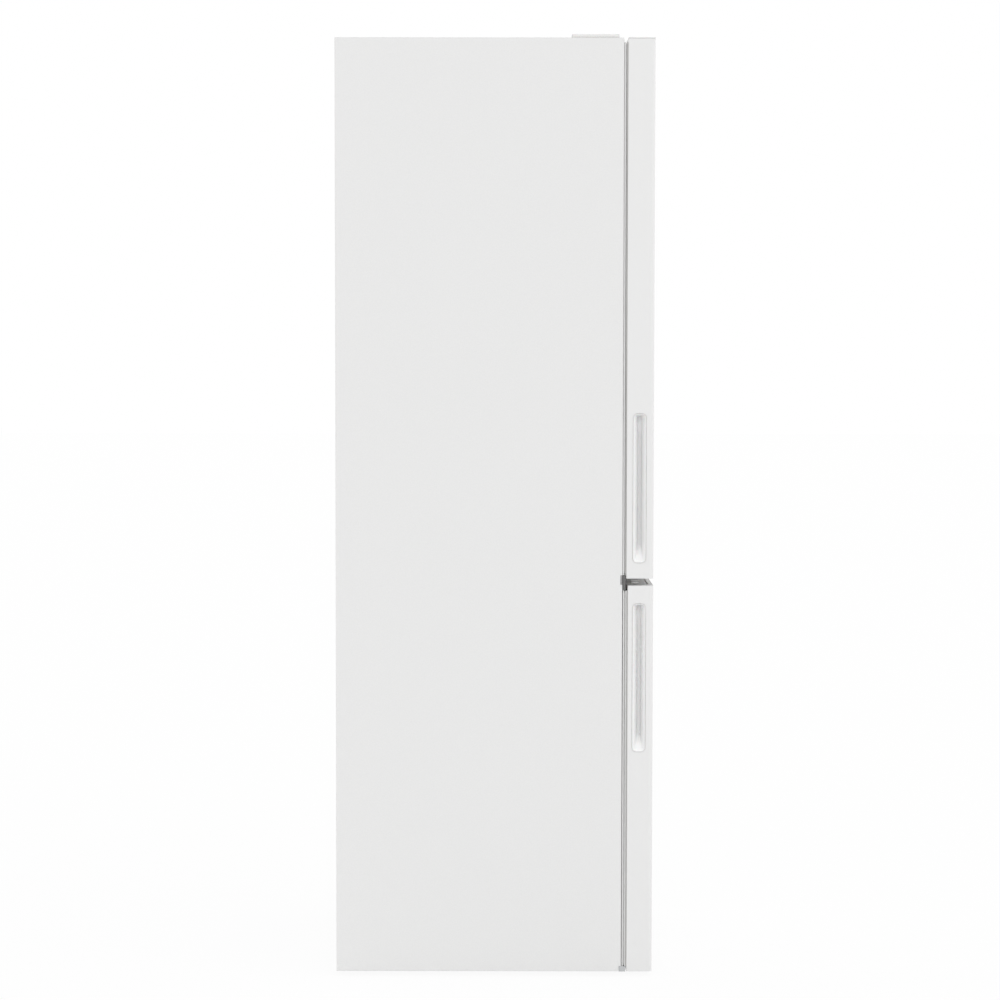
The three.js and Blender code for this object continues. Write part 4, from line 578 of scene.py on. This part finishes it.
FINISHES = {
    "cabinet_paint": cabinet_paint(),
    "door_paint": door_paint(),
    "zinc_sheet": zinc_sheet(),
    "hinge_steel": hinge_steel(),
    "white_trim": moulded_white("white_trim"),
    "liner": liner(),
    "foam": foam(),
    "seal_rubber": seal_rubber(),
    "clear_plastic": clear_plastic(),
    "shelf_glass": shelf_glass(),
    "lamp_lens": lamp_lens(),
    "black_paint": black_paint(),
    "fin_aluminium": fin_aluminium(),
    "grey_plastic": grey_plastic(),
    "black_rubber": rubber("black_rubber", RUBBER_BLACK),
}
COPPER_TUBE = copper()
SCREW_STEEL = screw_steel()
SATIN_STRIP = satin_strip()
NOTCH_SHADE_RUBBER = rubber("notch_shade_rubber", NOTCH_SHADE_GREY)
GAP_SHADE_RUBBER = rubber("gap_shade_rubber", GAP_SHADE_GREY)
DIAL_PAINT = rubber("dial_paint", DIAL_INK)


def paint(node, material):
    mesh = frame["nodes"][node].data
    mesh.materials.clear()
    mesh.materials.append(material)


def finish_cad_nodes():
    """Gives every solid of the frame the finish of its material slot, and a few their own."""
    for part in frame["record"]["subparts"]:
        paint(part["node"], FINISHES[part["material_slot"]])
    # stronger painted shade in the cover's creases paints the shadow line along its foot
    paint("blank_hinge_cover", moulded_white("cover_shaded_at_foot", crease_shade_weight=0.8))
    for door in ("upper_door", "lower_door"):
        paint(f"{door}_seal", seal_rubber(f"{door}_seal_rubber", f"{door}_seal"))
        grips = [f"{door}_grip_left", f"{door}_grip_right"]
        plastic = moulded_white(f"{door}_grip_plastic", GRIP_WHITE, 0.04, grips[0])
        for grip in grips:
            paint(grip, plastic)


# ---------------------------------------------------------------- making pieces

def facing_axes(facing):
    """The directions to the right and up, as seen by somebody who looks at a face, and out of it."""
    out = Vector(facing)
    up = Vector(REAR) if facing in (UP, DOWN) else Vector(UP)
    return up.cross(out), up, out


def circle(radius, sides):
    turns = [2 * math.pi * i / sides for i in range(sides)]
    return [(radius * math.cos(turn), radius * math.sin(turn)) for turn in turns]


def rounded_outline(width, height, corner):
    """The points of a rounded rectangle round its middle."""
    steps = 4
    points = []
    for right, up, start in ((1, 1, 0), (-1, 1, 90), (-1, -1, 180), (1, -1, 270)):
        for i in range(steps + 1):
            turn = math.radians(start + 90 * i / steps)
            x = right * (width / 2 - corner) + corner * math.cos(turn)
            y = up * (height / 2 - corner) + corner * math.sin(turn)
            points.append((x, y))
    return points


def spots_between(first, last, count):
    """Evenly spaced places from the first to the last."""
    return [first + (last - first) * i / (count - 1) for i in range(count)]


def corner_spots(low, high, in_x, in_z):
    """The x and z of four places set in from the corners of a box, from the lower left."""
    return [(x, z) for z in (low.z + in_z, high.z - in_z) for x in (low.x + in_x, high.x - in_x)]


def points_from(spot, *offsets):
    """Points at offsets in millimetres from a spot."""
    return [spot + Vector(offset) * MM for offset in offsets]


def skin(name, rings, body, slot, finish=None, looped=False):
    """A closed piece through rings of as many points each. Looped, its last ring meets its first.

    It has the finish of its material slot unless it is given another.
    """
    shape = bmesh.new()
    rows = [[shape.verts.new(point) for point in ring] for ring in rings]
    following = rows[1:] + rows[:1] if looped else rows[1:]
    for lower, upper in zip(rows, following):
        for i in range(len(lower)):
            j = (i + 1) % len(lower)
            shape.faces.new((lower[i], lower[j], upper[j], upper[i]))
    if not looped:
        shape.faces.new(rows[0])
        shape.faces.new(rows[-1])
    bmesh.ops.recalc_face_normals(shape, faces=shape.faces)
    mesh = bpy.data.meshes.new(name)
    shape.to_mesh(mesh)
    shape.free()
    mesh.shade_smooth()
    mesh.set_sharp_from_angle(angle=math.radians(38))
    mesh.materials.append(finish or FINISHES[slot])
    made = bpy.data.objects.new(name, mesh)
    bpy.context.collection.objects.link(made)
    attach(made, body)


def raised(name, centre, facing, layers, body, slot, finish=None):
    """A piece that stands on a face: layers of (height, outline points), from the face outwards."""
    right, up, out = facing_axes(facing)
    base = Vector(centre)
    rings = [[base + right * x + up * y + out * height for x, y in outline] for height, outline in layers]
    skin(name, rings, body, slot, finish)


def lathe(name, centre, facing, profile, body, slot, finish=None, sides=28):
    """A turned piece. Its profile's points are (radius, height) in millimetres."""
    layers = [(height * MM, circle(radius * MM, sides)) for radius, height in profile]
    raised(name, centre, facing, layers, body, slot, finish)


def ring(name, centre, facing, inner, outer, depth, body, slot):
    """A turned ring, closed through its bore."""
    right, up, out = facing_axes(facing)
    base = Vector(centre)
    sides = 28
    soft = min(depth, outer - inner) * 0.2
    section = [
        (inner + soft, 0), (outer - soft, 0), (outer, soft), (outer, depth - soft),
        (outer - soft, depth), (inner + soft, depth), (inner, depth - soft), (inner, soft),
    ]
    rings = []
    for x, y in circle(1, sides):
        spoke = right * x + up * y
        rings.append([base + spoke * radius + out * height for radius, height in section])
    skin(name, rings, body, slot, looped=True)


def pad(name, centre, facing, size, depth, corner, body, slot, finish=None, soft=None):
    """A flat moulded piece with rounded corners and a softened front edge."""
    width, height = size
    soft = soft or depth * 0.4
    inner_corner = max(corner - soft, corner * 0.3)
    layers = [
        (0, rounded_outline(width, height, corner)),
        (depth - soft, rounded_outline(width, height, corner)),
        (depth - soft * 0.3, rounded_outline(width - soft * 0.6, height - soft * 0.6, corner - soft * 0.2)),
        (depth, rounded_outline(width - 2 * soft, height - 2 * soft, inner_corner)),
    ]
    raised(name, centre, facing, layers, body, slot, finish)


def screw(name, centre, facing, radius, height, body):
    """A low domed screw head with a driver cross sunk in it."""
    arm, half = radius * 0.52, radius * 0.13
    corner = math.atan2(half, arm)
    never_zero = 1e-6
    turns = []
    for quarter in range(4):
        start = quarter * math.pi / 2
        for step in (-corner, 0, corner, math.pi / 8, math.pi / 4, math.pi * 3 / 8):
            turns.append(start + step)

    def disc(reach):
        return [(reach * math.cos(turn), reach * math.sin(turn)) for turn in turns]

    def cross(shrink):
        points = []
        for turn in turns:
            across = abs(math.cos(turn)) + never_zero
            upright = abs(math.sin(turn)) + never_zero
            reach = max(min(arm / across, half / upright), min(half / across, arm / upright))
            points.append((reach * shrink * math.cos(turn), reach * shrink * math.sin(turn)))
        return points

    raised(name, centre, facing, [
        (0, disc(radius)),
        (height * 0.35, disc(radius)),
        (height * 0.75, disc(radius * 0.90)),
        (height, disc(radius * 0.66)),
        (height, cross(1.0)),
        (height * 0.25, cross(0.62)),
    ], body, "zinc_sheet", SCREW_STEEL)


def panel_screw(name, x, y, z):
    """The small screw that holds the sheets on the back of the cabinet."""
    screw(name, (x, y, z), REAR, 4 * MM, 1.1 * MM, "cabinet")


def smooth_path(points, steps):
    """A smooth line through all the points."""
    spots = [2 * points[0] - points[1], *points, 2 * points[-1] - points[-2]]
    path = []
    for a, b, c, d in zip(spots, spots[1:], spots[2:], spots[3:]):
        for step in range(steps):
            t = step / steps
            bend = (2 * a - 5 * b + 4 * c - d) * t * t + (3 * b - a - 3 * c + d) * t ** 3
            path.append((2 * b + (c - a) * t + bend) / 2)
    path.append(points[-1])
    return path


def tube(name, points, radius, body, slot, finish, sides=12, steps=6):
    """A round tube along a smooth line through the points."""
    path = smooth_path(points, steps)
    across = (path[1] - path[0]).orthogonal()
    rings = []
    for i, spot in enumerate(path):
        along = (path[min(i + 1, len(path) - 1)] - path[max(i - 1, 0)]).normalized()
        across = (across - along * across.dot(along)).normalized()
        side = along.cross(across)
        rings.append([spot + radius * (across * x + side * y) for x, y in circle(1, sides)])
    skin(name, rings, body, slot, finish)


def copper_tube(name, points, radius, **fineness):
    tube(name, points, radius, "cabinet", "fin_aluminium", COPPER_TUBE, **fineness)


# ---------------------------------------------------------------- pieces on the cabinet

def back_panel_fasteners():
    """Screws round the back panel and the plugs over the foam's filling holes."""
    low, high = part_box("back_panel")
    # the panel's own box reaches out to its beads, and the cover below lies flush with its face
    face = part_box("machine_room_cover")[1].y
    side, top = high.x - 16 * MM, high.z - 17 * MM
    spots = [(x, z) for z in spots_between(low.z + 22 * MM, top, 7) for x in (-side, side)]
    spots += [(x, top) for x in (-140 * MM, 0, 140 * MM)]
    for number, (x, z) in enumerate(spots, 1):
        panel_screw(f"back_panel_screw_{number:02d}", x, face, z)
    holes = [(x, z) for z in (low.z + 420 * MM, high.z - 380 * MM) for x in (-170 * MM, 170 * MM)]
    for number, (x, z) in enumerate(holes, 1):
        lathe(f"filling_hole_plug_{number}", (x, face, z), REAR, [
            (13, 0), (13, 0.6), (12, 1.1), (5, 1.1), (4, 0.5),
        ], "cabinet", "grey_plastic")


def machine_room_cover_screws():
    """Screws down both sides of the cover, and two more along its top."""
    low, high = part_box("machine_room_cover")
    side = high.x - 13 * MM
    bottom, top = low.z + 8 * MM, high.z - 8 * MM
    spots = [(x, z) for x in (-side, side) for z in spots_between(bottom, top, 3)]
    spots += [(x, top) for x in (-120 * MM, 120 * MM)]
    for number, (x, z) in enumerate(spots, 1):
        panel_screw(f"room_cover_screw_{number}", x, high.y, z)


def compressor_crown():
    """The top of the compressor's shell, over its middle."""
    low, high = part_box("compressor")
    relay_reach = 98 * MM
    return Vector((high.x - relay_reach, (low.y + high.y) / 2, high.z))


def refrigerant_tubes():
    """Copper tubes between the compressor, the condenser and the cabinet, with the filter drier."""
    crown = compressor_crown()
    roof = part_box("machine_room_cover")[1].z - 0.7 * MM
    low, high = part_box("condenser")
    coil_y = (low.y + high.y) / 2
    inlet = Vector((high.x - 3 * MM, coil_y, high.z - 8 * MM))
    outlet = Vector((low.x + 3 * MM, coil_y, low.z + 21.7 * MM))
    stub = crown + Vector((-96, 0, -65)) * MM
    drier = outlet + Vector((-29, 0, 50)) * MM

    copper_tube("discharge_tube", [
        *points_from(stub, (0, 0, 0), (0, 0, 22), (-10, 0, 38)),
        *points_from((inlet + stub) / 2, (0, 0, 36)),
        *points_from(inlet, (14, 0, 12), (0, 0, 0)),
    ], 3.2 * MM)
    suction = points_from(crown, (26, -67, -70), (31, -80, -69), (34, -88, -54), (34, -89, -20))
    copper_tube("suction_tube", [*suction, Vector((*suction[-1].xy, roof))], 4.2 * MM)
    process = points_from(crown, (-34, -63, -100), (-42, -78, -99), (-45, -84, -84), (-45, -84, -52))
    copper_tube("process_tube", process, 3.2 * MM)
    copper_tube("condenser_outlet_tube", [
        *points_from(outlet, (0, 0, 0), (-12, 0, 0)),
        *points_from(drier, (0, 0, -42), (0, 0, -24)),
    ], 3.0 * MM)
    lathe("filter_drier", drier + Vector((0, 0, -28)) * MM, UP, [
        (3, 0), (4, 3), (9, 12), (9.5, 15), (9.5, 62), (9, 65), (3.4, 77), (2, 80),
    ], "cabinet", "fin_aluminium", COPPER_TUBE)

    coil_radius, coil_start, climb = 14, 14, 0.9
    coil = []
    for i in range(25):
        turn = i * math.pi / 4
        coil.append((
            coil_radius * math.cos(turn) - coil_radius,
            coil_radius * math.sin(turn),
            coil_start + climb * i,
        ))
    top = drier + Vector((0, 0, 50)) * MM
    capillary = points_from(top, (0, 0, 0), (0, 0, 8), *coil)
    copper_tube("capillary_tube", [*capillary, Vector((*top.xy, roof))], 1.2 * MM, sides=8, steps=4)


def compressor_fittings():
    """Rubber grommets and bolts under the compressor, and the lid and clip of its relay."""
    low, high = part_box("compressor")
    crown = compressor_crown()
    foot = low.z + 14.7 * MM
    apart_x, apart_y = 76 * MM, 40 * MM
    spots = [(crown.x + x, crown.y + y) for x in (-apart_x, apart_x) for y in (-apart_y, apart_y)]
    for number, (x, y) in enumerate(spots, 1):
        lathe(f"compressor_bolt_{number}", (x, y, foot), UP, [
            (8, 0), (8, 1), (5.2, 1.2), (5.2, 5), (3, 5.8),
        ], "cabinet", "zinc_sheet", SCREW_STEEL, sides=18)
        ring(f"compressor_grommet_{number}", (x, y, low.z), UP, 9.3 * MM, 12 * MM, 10 * MM,
             "cabinet", "black_rubber")
    relay = Vector((high.x, crown.y, high.z - 105 * MM))
    pad("relay_lid", relay, RIGHT, (44 * MM, 50 * MM), 5 * MM, 5 * MM, "cabinet", "grey_plastic")
    tube("relay_clip", points_from(
        relay, (-20, -25, 0), (4, -26, 0), (6.4, -20, 0), (6.4, 0, 0), (6.4, 20, 0), (4, 26, 0),
        (-20, 25, 0),
    ), 1.0 * MM, "cabinet", "hinge_steel", SCREW_STEEL, sides=8)


def drain_tube():
    """Tube that leads the thaw water from the evaporator to the pan."""
    low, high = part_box("drain_pan")
    spot = (low.x + 85 * MM, low.y + 38 * MM, high.z - 9 * MM)
    lathe("thaw_drain_tube", spot, UP, [
        (6, 0), (7, 1), (7, 12), (8.4, 13), (8.4, 17), (7, 18), (7, 36), (11, 37), (11, 38.5),
    ], "cabinet", "grey_plastic")


def slot_middle():
    """The height of the middle of the slot between the doors."""
    return (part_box("lower_door_skin")[1].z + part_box("upper_door_skin")[0].z) / 2


def notch_shade_plugs():
    """Ribbed plugs in the notches of the face flanges, beside the slot between the doors; their dark grey is
    painted shade of the notches.
    """
    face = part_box("mullion_trim")[0].y
    side_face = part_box("outer_wrapper")[1].x
    middle = slot_middle() + HINGE_ARM
    width, height, depth = 7.5 * MM, 18.6 * MM, 3.7 * MM
    crest, valley = 0.35 * MM, 1.1 * MM
    for name, way in (("left", -1), ("right", 1)):
        inner, rear = way * (side_face - width), face + depth
        rings = []
        for i, z in enumerate(spots_between(middle - height / 2, middle + height / 2, 13)):
            sunk = valley if i % 2 else crest
            outer, front = way * (side_face - sunk), face + sunk * 0.6
            rings.append([(inner, front, z), (outer, front, z), (outer, rear, z), (inner, rear, z)])
        # dark grey piece that paints the shade in the notch
        skin(f"notch_shade_plug_{name}", rings, "cabinet", "black_rubber", NOTCH_SHADE_RUBBER)


def gap_shade_stop():
    """Rubber stop on the cabinet's face, between the ends of the two seals on the opening side; its dark grey is
    painted shade of the void between the seal ends.
    """
    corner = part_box("outer_wrapper")[0]
    clearance = 0.6 * MM
    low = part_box("lower_door_seal")[1].z + clearance
    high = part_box("upper_door_seal")[0].z - clearance
    width, depth = 6.2 * MM, 6 * MM
    centre = (corner.x + 0.5 * MM + depth, corner.y - 0.2 * MM - width / 2, (low + high) / 2)
    # dark grey piece that paints the shade of the void between the seal ends
    pad("gap_shade_stop", centre, LEFT, (width, high - low), depth, 1.6 * MM,
        "cabinet", "black_rubber", GAP_SHADE_RUBBER, soft=1.2 * MM)


def hinge_screws():
    """Flat screws that hold the middle and the bottom hinge."""
    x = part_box("mid_hinge")[0].x + 13 * MM
    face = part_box("outer_wrapper")[0].y - SEAT - HINGE_PLATE
    apart = 9 * MM
    for number, z in enumerate((slot_middle() - apart, slot_middle() + apart), 1):
        screw(f"mid_hinge_screw_{number}", (x, face, z), FRONT, 4 * MM, 1.5 * MM, "cabinet")
    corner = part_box("bottom_hinge")[1]
    for number, back in enumerate((14 * MM, 40 * MM), 1):
        spot = (corner.x - 17 * MM, corner.y - back, corner.z - HINGE_PLATE)
        screw(f"bottom_hinge_screw_{number}", spot, DOWN, 4.5 * MM, 2 * MM, "cabinet")


# ---------------------------------------------------------------- pieces inside

def duct_caps():
    """Caps over the screws of the air duct."""
    low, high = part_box("air_duct")
    for number, (x, z) in enumerate(corner_spots(low, high, 22 * MM, 30 * MM), 1):
        lathe(f"duct_cap_{number}", (x, low.y, z), FRONT, [
            (7, 0), (7, 0.8), (5.8, 1.6), (2, 1.9),
        ], "cabinet", "white_trim")


def air_cover_screws():
    low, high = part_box("air_cover")
    for number, (x, z) in enumerate(corner_spots(low, high, 20 * MM, 24 * MM), 1):
        screw(f"air_cover_screw_{number}", (x, low.y, z), FRONT, 4 * MM, 1.6 * MM, "cabinet")


def dial_marks():
    """Strokes round the setting knob, longer towards the coldest setting."""
    low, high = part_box("control_knob")
    centre = (low + high) / 2
    base = Vector((centre.x, high.y + SEAT, centre.z))
    thickness = Vector(FRONT) * 0.25 * MM
    start = 18.2 * MM
    for i, angle in enumerate(spots_between(210, -30, 7)):
        turn = math.radians(angle)
        end = start + (1.4 + 0.35 * i) * MM
        out = Vector((math.cos(turn), 0, math.sin(turn)))
        half = Vector((-math.sin(turn), 0, math.cos(turn))) * 0.5 * MM
        outline = [
            base + out * start - half, base + out * start + half,
            base + out * end + half * 1.3, base + out * end - half * 1.3,
        ]
        rings = [outline, [point + thickness for point in outline]]
        skin(f"dial_mark_{i + 1}", rings, "cabinet", "black_rubber", DIAL_PAINT)


def front_strip(name, centre, facing, size, depth, body):
    pad(name, centre, facing, size, depth, 2 * MM, body, "fin_aluminium", SATIN_STRIP)


def front_strips():
    """Satin strips along the fronts of the shelves, the bins and the drawers."""
    for number, node in enumerate(("crisper_cover_frame", "shelf_1_frame", "shelf_2_frame"), 1):
        low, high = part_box(node)
        centre = (0, low.y, (low.z + high.z) / 2)
        size = (high.x - low.x - 20 * MM, 8 * MM)
        front_strip(f"shelf_strip_{number}", centre, FRONT, size, 1.4 * MM, "cabinet")
    for number in (1, 2, 3):
        low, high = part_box(f"door_bin_{number}")
        centre = (0, high.y, high.z - 8 * MM)
        size = (high.x - low.x - 40 * MM, 9 * MM)
        front_strip(f"bin_strip_{number}", centre, REAR, size, 1.4 * MM, "upper_door")
    drawers = {
        "crisper_drawer": "crisper",
        "low_freezer_drawer": "low_drawer",
        "middle_freezer_drawer": "middle_drawer",
        "high_freezer_drawer": "high_drawer",
    }
    for node, body in drawers.items():
        low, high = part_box(node)
        centre = (0, low.y, high.z - 10 * MM)
        front_strip(f"{body}_strip", centre, FRONT, (400 * MM, 7 * MM), 1.2 * MM, body)


def sensor_cover():
    """Cover of the temperature sensor on the fridge wall, with three slots one over the other, drawn as black pads
    that paint the shade in them.
    """
    depth, pitch = 5 * MM, 11 * MM
    wall = Vector((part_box("outer_wrapper")[0].x + SIDE_WALL, 60 * MM, 1420 * MM))
    pad("sensor_cover", wall, RIGHT, (24 * MM, 44 * MM), depth, 6 * MM, "cabinet", "white_trim")
    for number, rise in enumerate((-pitch, 0, pitch), 1):
        # black pad that paints the shade inside a slot
        pad(f"sensor_slot_shade_{number}", wall + Vector((depth, 0, rise)), RIGHT, (14 * MM, 3 * MM), 0.3 * MM,
            1.4 * MM, "cabinet", "black_rubber")


# ---------------------------------------------------------------- pieces on the doors, feet and rollers

def seal_bead(door, number, section):
    """A bead all round a seal. The section's points are (distance in from the seal's edge, y)."""
    low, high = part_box(f"{door}_seal")
    corners = (
        (low.x, 1, low.z, 1),
        (high.x, -1, low.z, 1),
        (high.x, -1, high.z, -1),
        (low.x, 1, high.z, -1),
    )
    rings = [
        [(x + inwards * inset, y, z + upwards * inset) for inset, y in section]
        for x, inwards, z, upwards in corners
    ]
    skin(f"{door}_seal_bead_{number}", rings, door, "seal_rubber", looped=True)


def seal_beads():
    """Beads in both folds of the lower seal, the one by the door almost flush, and along the upper lip."""
    low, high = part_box("lower_door_seal")
    fold = (high.y - low.y - SEAL_FOOT - SEAL_MAGNET) / 2
    bevel, root, half_root = 0.2 * MM, 3.9 * MM, 0.4 * MM
    for number, depth in enumerate((0.4 * MM, 1.9 * MM), 1):
        middle = low.y + SEAL_FOOT + (number - 0.5) * fold
        half = fold / 2 - depth * 0.25 - 0.15 * MM
        seal_bead("lower_door", number, [
            (depth + bevel, middle - half), (depth, middle - half * 0.6), (depth, middle + half * 0.6),
            (depth + bevel, middle + half), (root, middle + half_root), (root, middle - half_root),
        ])
    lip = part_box("upper_door_seal")[1].y
    seal_bead("upper_door", 1, [
        (inset * MM, lip - back * MM)
        for inset, back in ((0.4, 1.0), (0.3, 0.7), (0.4, 0.3), (0.7, 0.1), (4, 0.1), (4, 0.4))
    ])


def door_top_lid():
    """Flat lid over the top of the upper door, which ends short of the hinge."""
    low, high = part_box("upper_door_skin")
    edge, rear_edge, hinge_gap = 0.3 * MM, 0.5 * MM, 9 * MM
    left, right = low.x + edge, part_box("top_hinge_cover")[0].x - hinge_gap
    front, rear = low.y + edge, high.y - rear_edge
    centre = ((left + right) / 2, (front + rear) / 2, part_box("upper_door_top_cap")[1].z)
    pad("upper_door_top_lid", centre, UP, (right - left, rear - front), 2.1 * MM, 4 * MM,
        "upper_door", "white_trim", soft=0.8 * MM)


def bore_plugs():
    """Caps over the unused hinge bores on the opening side, where no lid covers them."""
    hinge = next(joint for joint in frame["joints"] if joint["name"] == "upper_door_hinge")
    pin_x, pin_y = hinge["pos_m"][:2]
    caps = (
        ("upper_door_bottom_cap", "upper_door", DOWN),
        ("lower_door_top_cap", "lower_door", UP),
        ("lower_door_bottom_cap", "lower_door", DOWN),
    )
    for node, body, facing in caps:
        low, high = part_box(node)
        z = high.z if facing == UP else low.z
        lathe(f"{node}_plug", (-pin_x, pin_y, z), facing, [
            (8, 0), (8, 0.5), (7, 1.1), (3, 1.3),
        ], body, "white_trim")


def foot_rings():
    """Knurled rings that the levelling feet are turned by."""
    teeth = 36
    crest, valley = 0.9 * MM, 0.2 * MM
    for name in ("left", "right"):
        low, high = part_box(f"levelling_foot_{name}")
        radius = (high.x - low.x) / 2
        outline = []
        for i in range(teeth * 2):
            turn = math.pi * i / teeth
            reach = radius + (crest if i % 2 else valley)
            outline.append((reach * math.cos(turn), reach * math.sin(turn)))
        centre = ((low.x + high.x) / 2, (low.y + high.y) / 2, low.z + 3 * MM)
        layers = [(0, outline), (5 * MM, outline)]
        raised(f"foot_ring_{name}", centre, UP, layers, f"{name}_foot", "grey_plastic")


def roller_caps():
    """Rubber rings on both faces of the rear rollers."""
    for name in ("left", "right"):
        low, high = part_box(f"rear_roller_{name}")
        middle = (low + high) / 2
        for side, x, facing in (("inner", low.x, LEFT), ("outer", high.x, RIGHT)):
            ring(f"roller_cap_{name}_{side}", (x, middle.y, middle.z), facing, 5 * MM, 11 * MM, 0.6 * MM,
                 f"{name}_roller", "black_rubber")


# ---------------------------------------------------------------- camera, floor and light

def add_camera():
    """A long lens level with the upper door, tipped down a little and turned by a hair."""
    spot = (-5.2785, -0.0106, 1.229)
    pitch, roll = math.radians(3.08), math.radians(0.075)
    data = bpy.data.cameras.new("camera")
    data.lens = 90.0
    data.sensor_width = 36.0
    camera = bpy.data.objects.new("camera", data)
    bpy.context.collection.objects.link(camera)
    tipped = Euler((math.pi / 2 - pitch, 0, -math.pi / 2), "XYZ").to_matrix().to_4x4()
    camera.matrix_world = Matrix.Translation(spot) @ tipped @ Matrix.Rotation(roll, 4, "Z")
    bpy.context.scene.camera = camera


def seen_directly(nodes):
    """1 for rays from the camera, and for those that metal and glass send on, 0 for light."""
    camera, glossy, through = [
        nodes.node("ShaderNodeLightPath", output=f"Is {kind} Ray")
        for kind in ("Camera", "Glossy", "Transmission")
    ]
    return nodes.math("MAXIMUM", nodes.math("MAXIMUM", camera, glossy), through)


def add_floor():
    """Pale floor that looks white and keeps a soft shadow."""
    floor_paint = Finish("studio_floor", {"Base Color": FLOOR_GREY, "Roughness": 0.9})
    surface = floor_paint.node("ShaderNodeMixShader", None, {
        0: seen_directly(floor_paint) * 0.94,
        1: Wire(floor_paint, floor_paint.shader.outputs[0]),
        2: floor_paint.node("ShaderNodeEmission", None, {"Color": WHITE_LIGHT, "Strength": 1.0}),
    })
    floor_paint.put(floor_paint.tree.nodes["Material Output"].inputs["Surface"], surface)
    reach = 40.0
    corners = [(-reach, -reach, 0), (reach, -reach, 0), (reach, reach, 0), (-reach, reach, 0)]
    mesh = bpy.data.meshes.new("floor")
    mesh.from_pydata(corners, [], [(0, 1, 2, 3)])
    mesh.materials.append(floor_paint.material)
    floor = bpy.data.objects.new("floor", mesh)
    bpy.context.collection.objects.link(floor)


def add_world():
    """Even studio light: white where it is seen, a little less where it lights the appliance."""
    world = bpy.data.worlds.new("studio")
    bpy.context.scene.world = world
    world.use_nodes = True
    studio = Nodes(world.node_tree, "Background")
    studio.set({
        "Color": WHITE_LIGHT,
        "Strength": 0.68 + seen_directly(studio) * 0.32,
    })


def add_lamp(name, towards, strength, spread):
    """A wide soft lamp far away, that shines from a direction."""
    data = bpy.data.lights.new(name, "SUN")
    data.energy = strength
    data.angle = math.radians(spread)
    lamp = bpy.data.objects.new(name, data)
    bpy.context.collection.objects.link(lamp)
    lamp.rotation_euler = Vector(towards).to_track_quat("Z", "Y").to_euler()


def add_lights():
    add_world()
    add_lamp("key_lamp", (-0.75, -0.45, 0.9), 0.85, 70)
    add_lamp("fill_lamp", (-0.7, 0.6, 0.35), 0.35, 90)
    add_lamp("front_lamp", (0.3, -0.9, 0.3), 0.5, 90)
    add_lamp("rear_lamp", (0.8, 0.6, 0.6), 0.7, 80)


# ---------------------------------------------------------------- the scene

bpy.context.scene.view_settings.view_transform = "Standard"
add_camera()
add_floor()
add_lights()
finish_cad_nodes()
back_panel_fasteners()
machine_room_cover_screws()
refrigerant_tubes()
compressor_fittings()
drain_tube()
notch_shade_plugs()
gap_shade_stop()
hinge_screws()
duct_caps()
air_cover_screws()
dial_marks()
front_strips()
sensor_cover()
seal_beads()
door_top_lid()
bore_plugs()
foot_rings()
roller_caps()
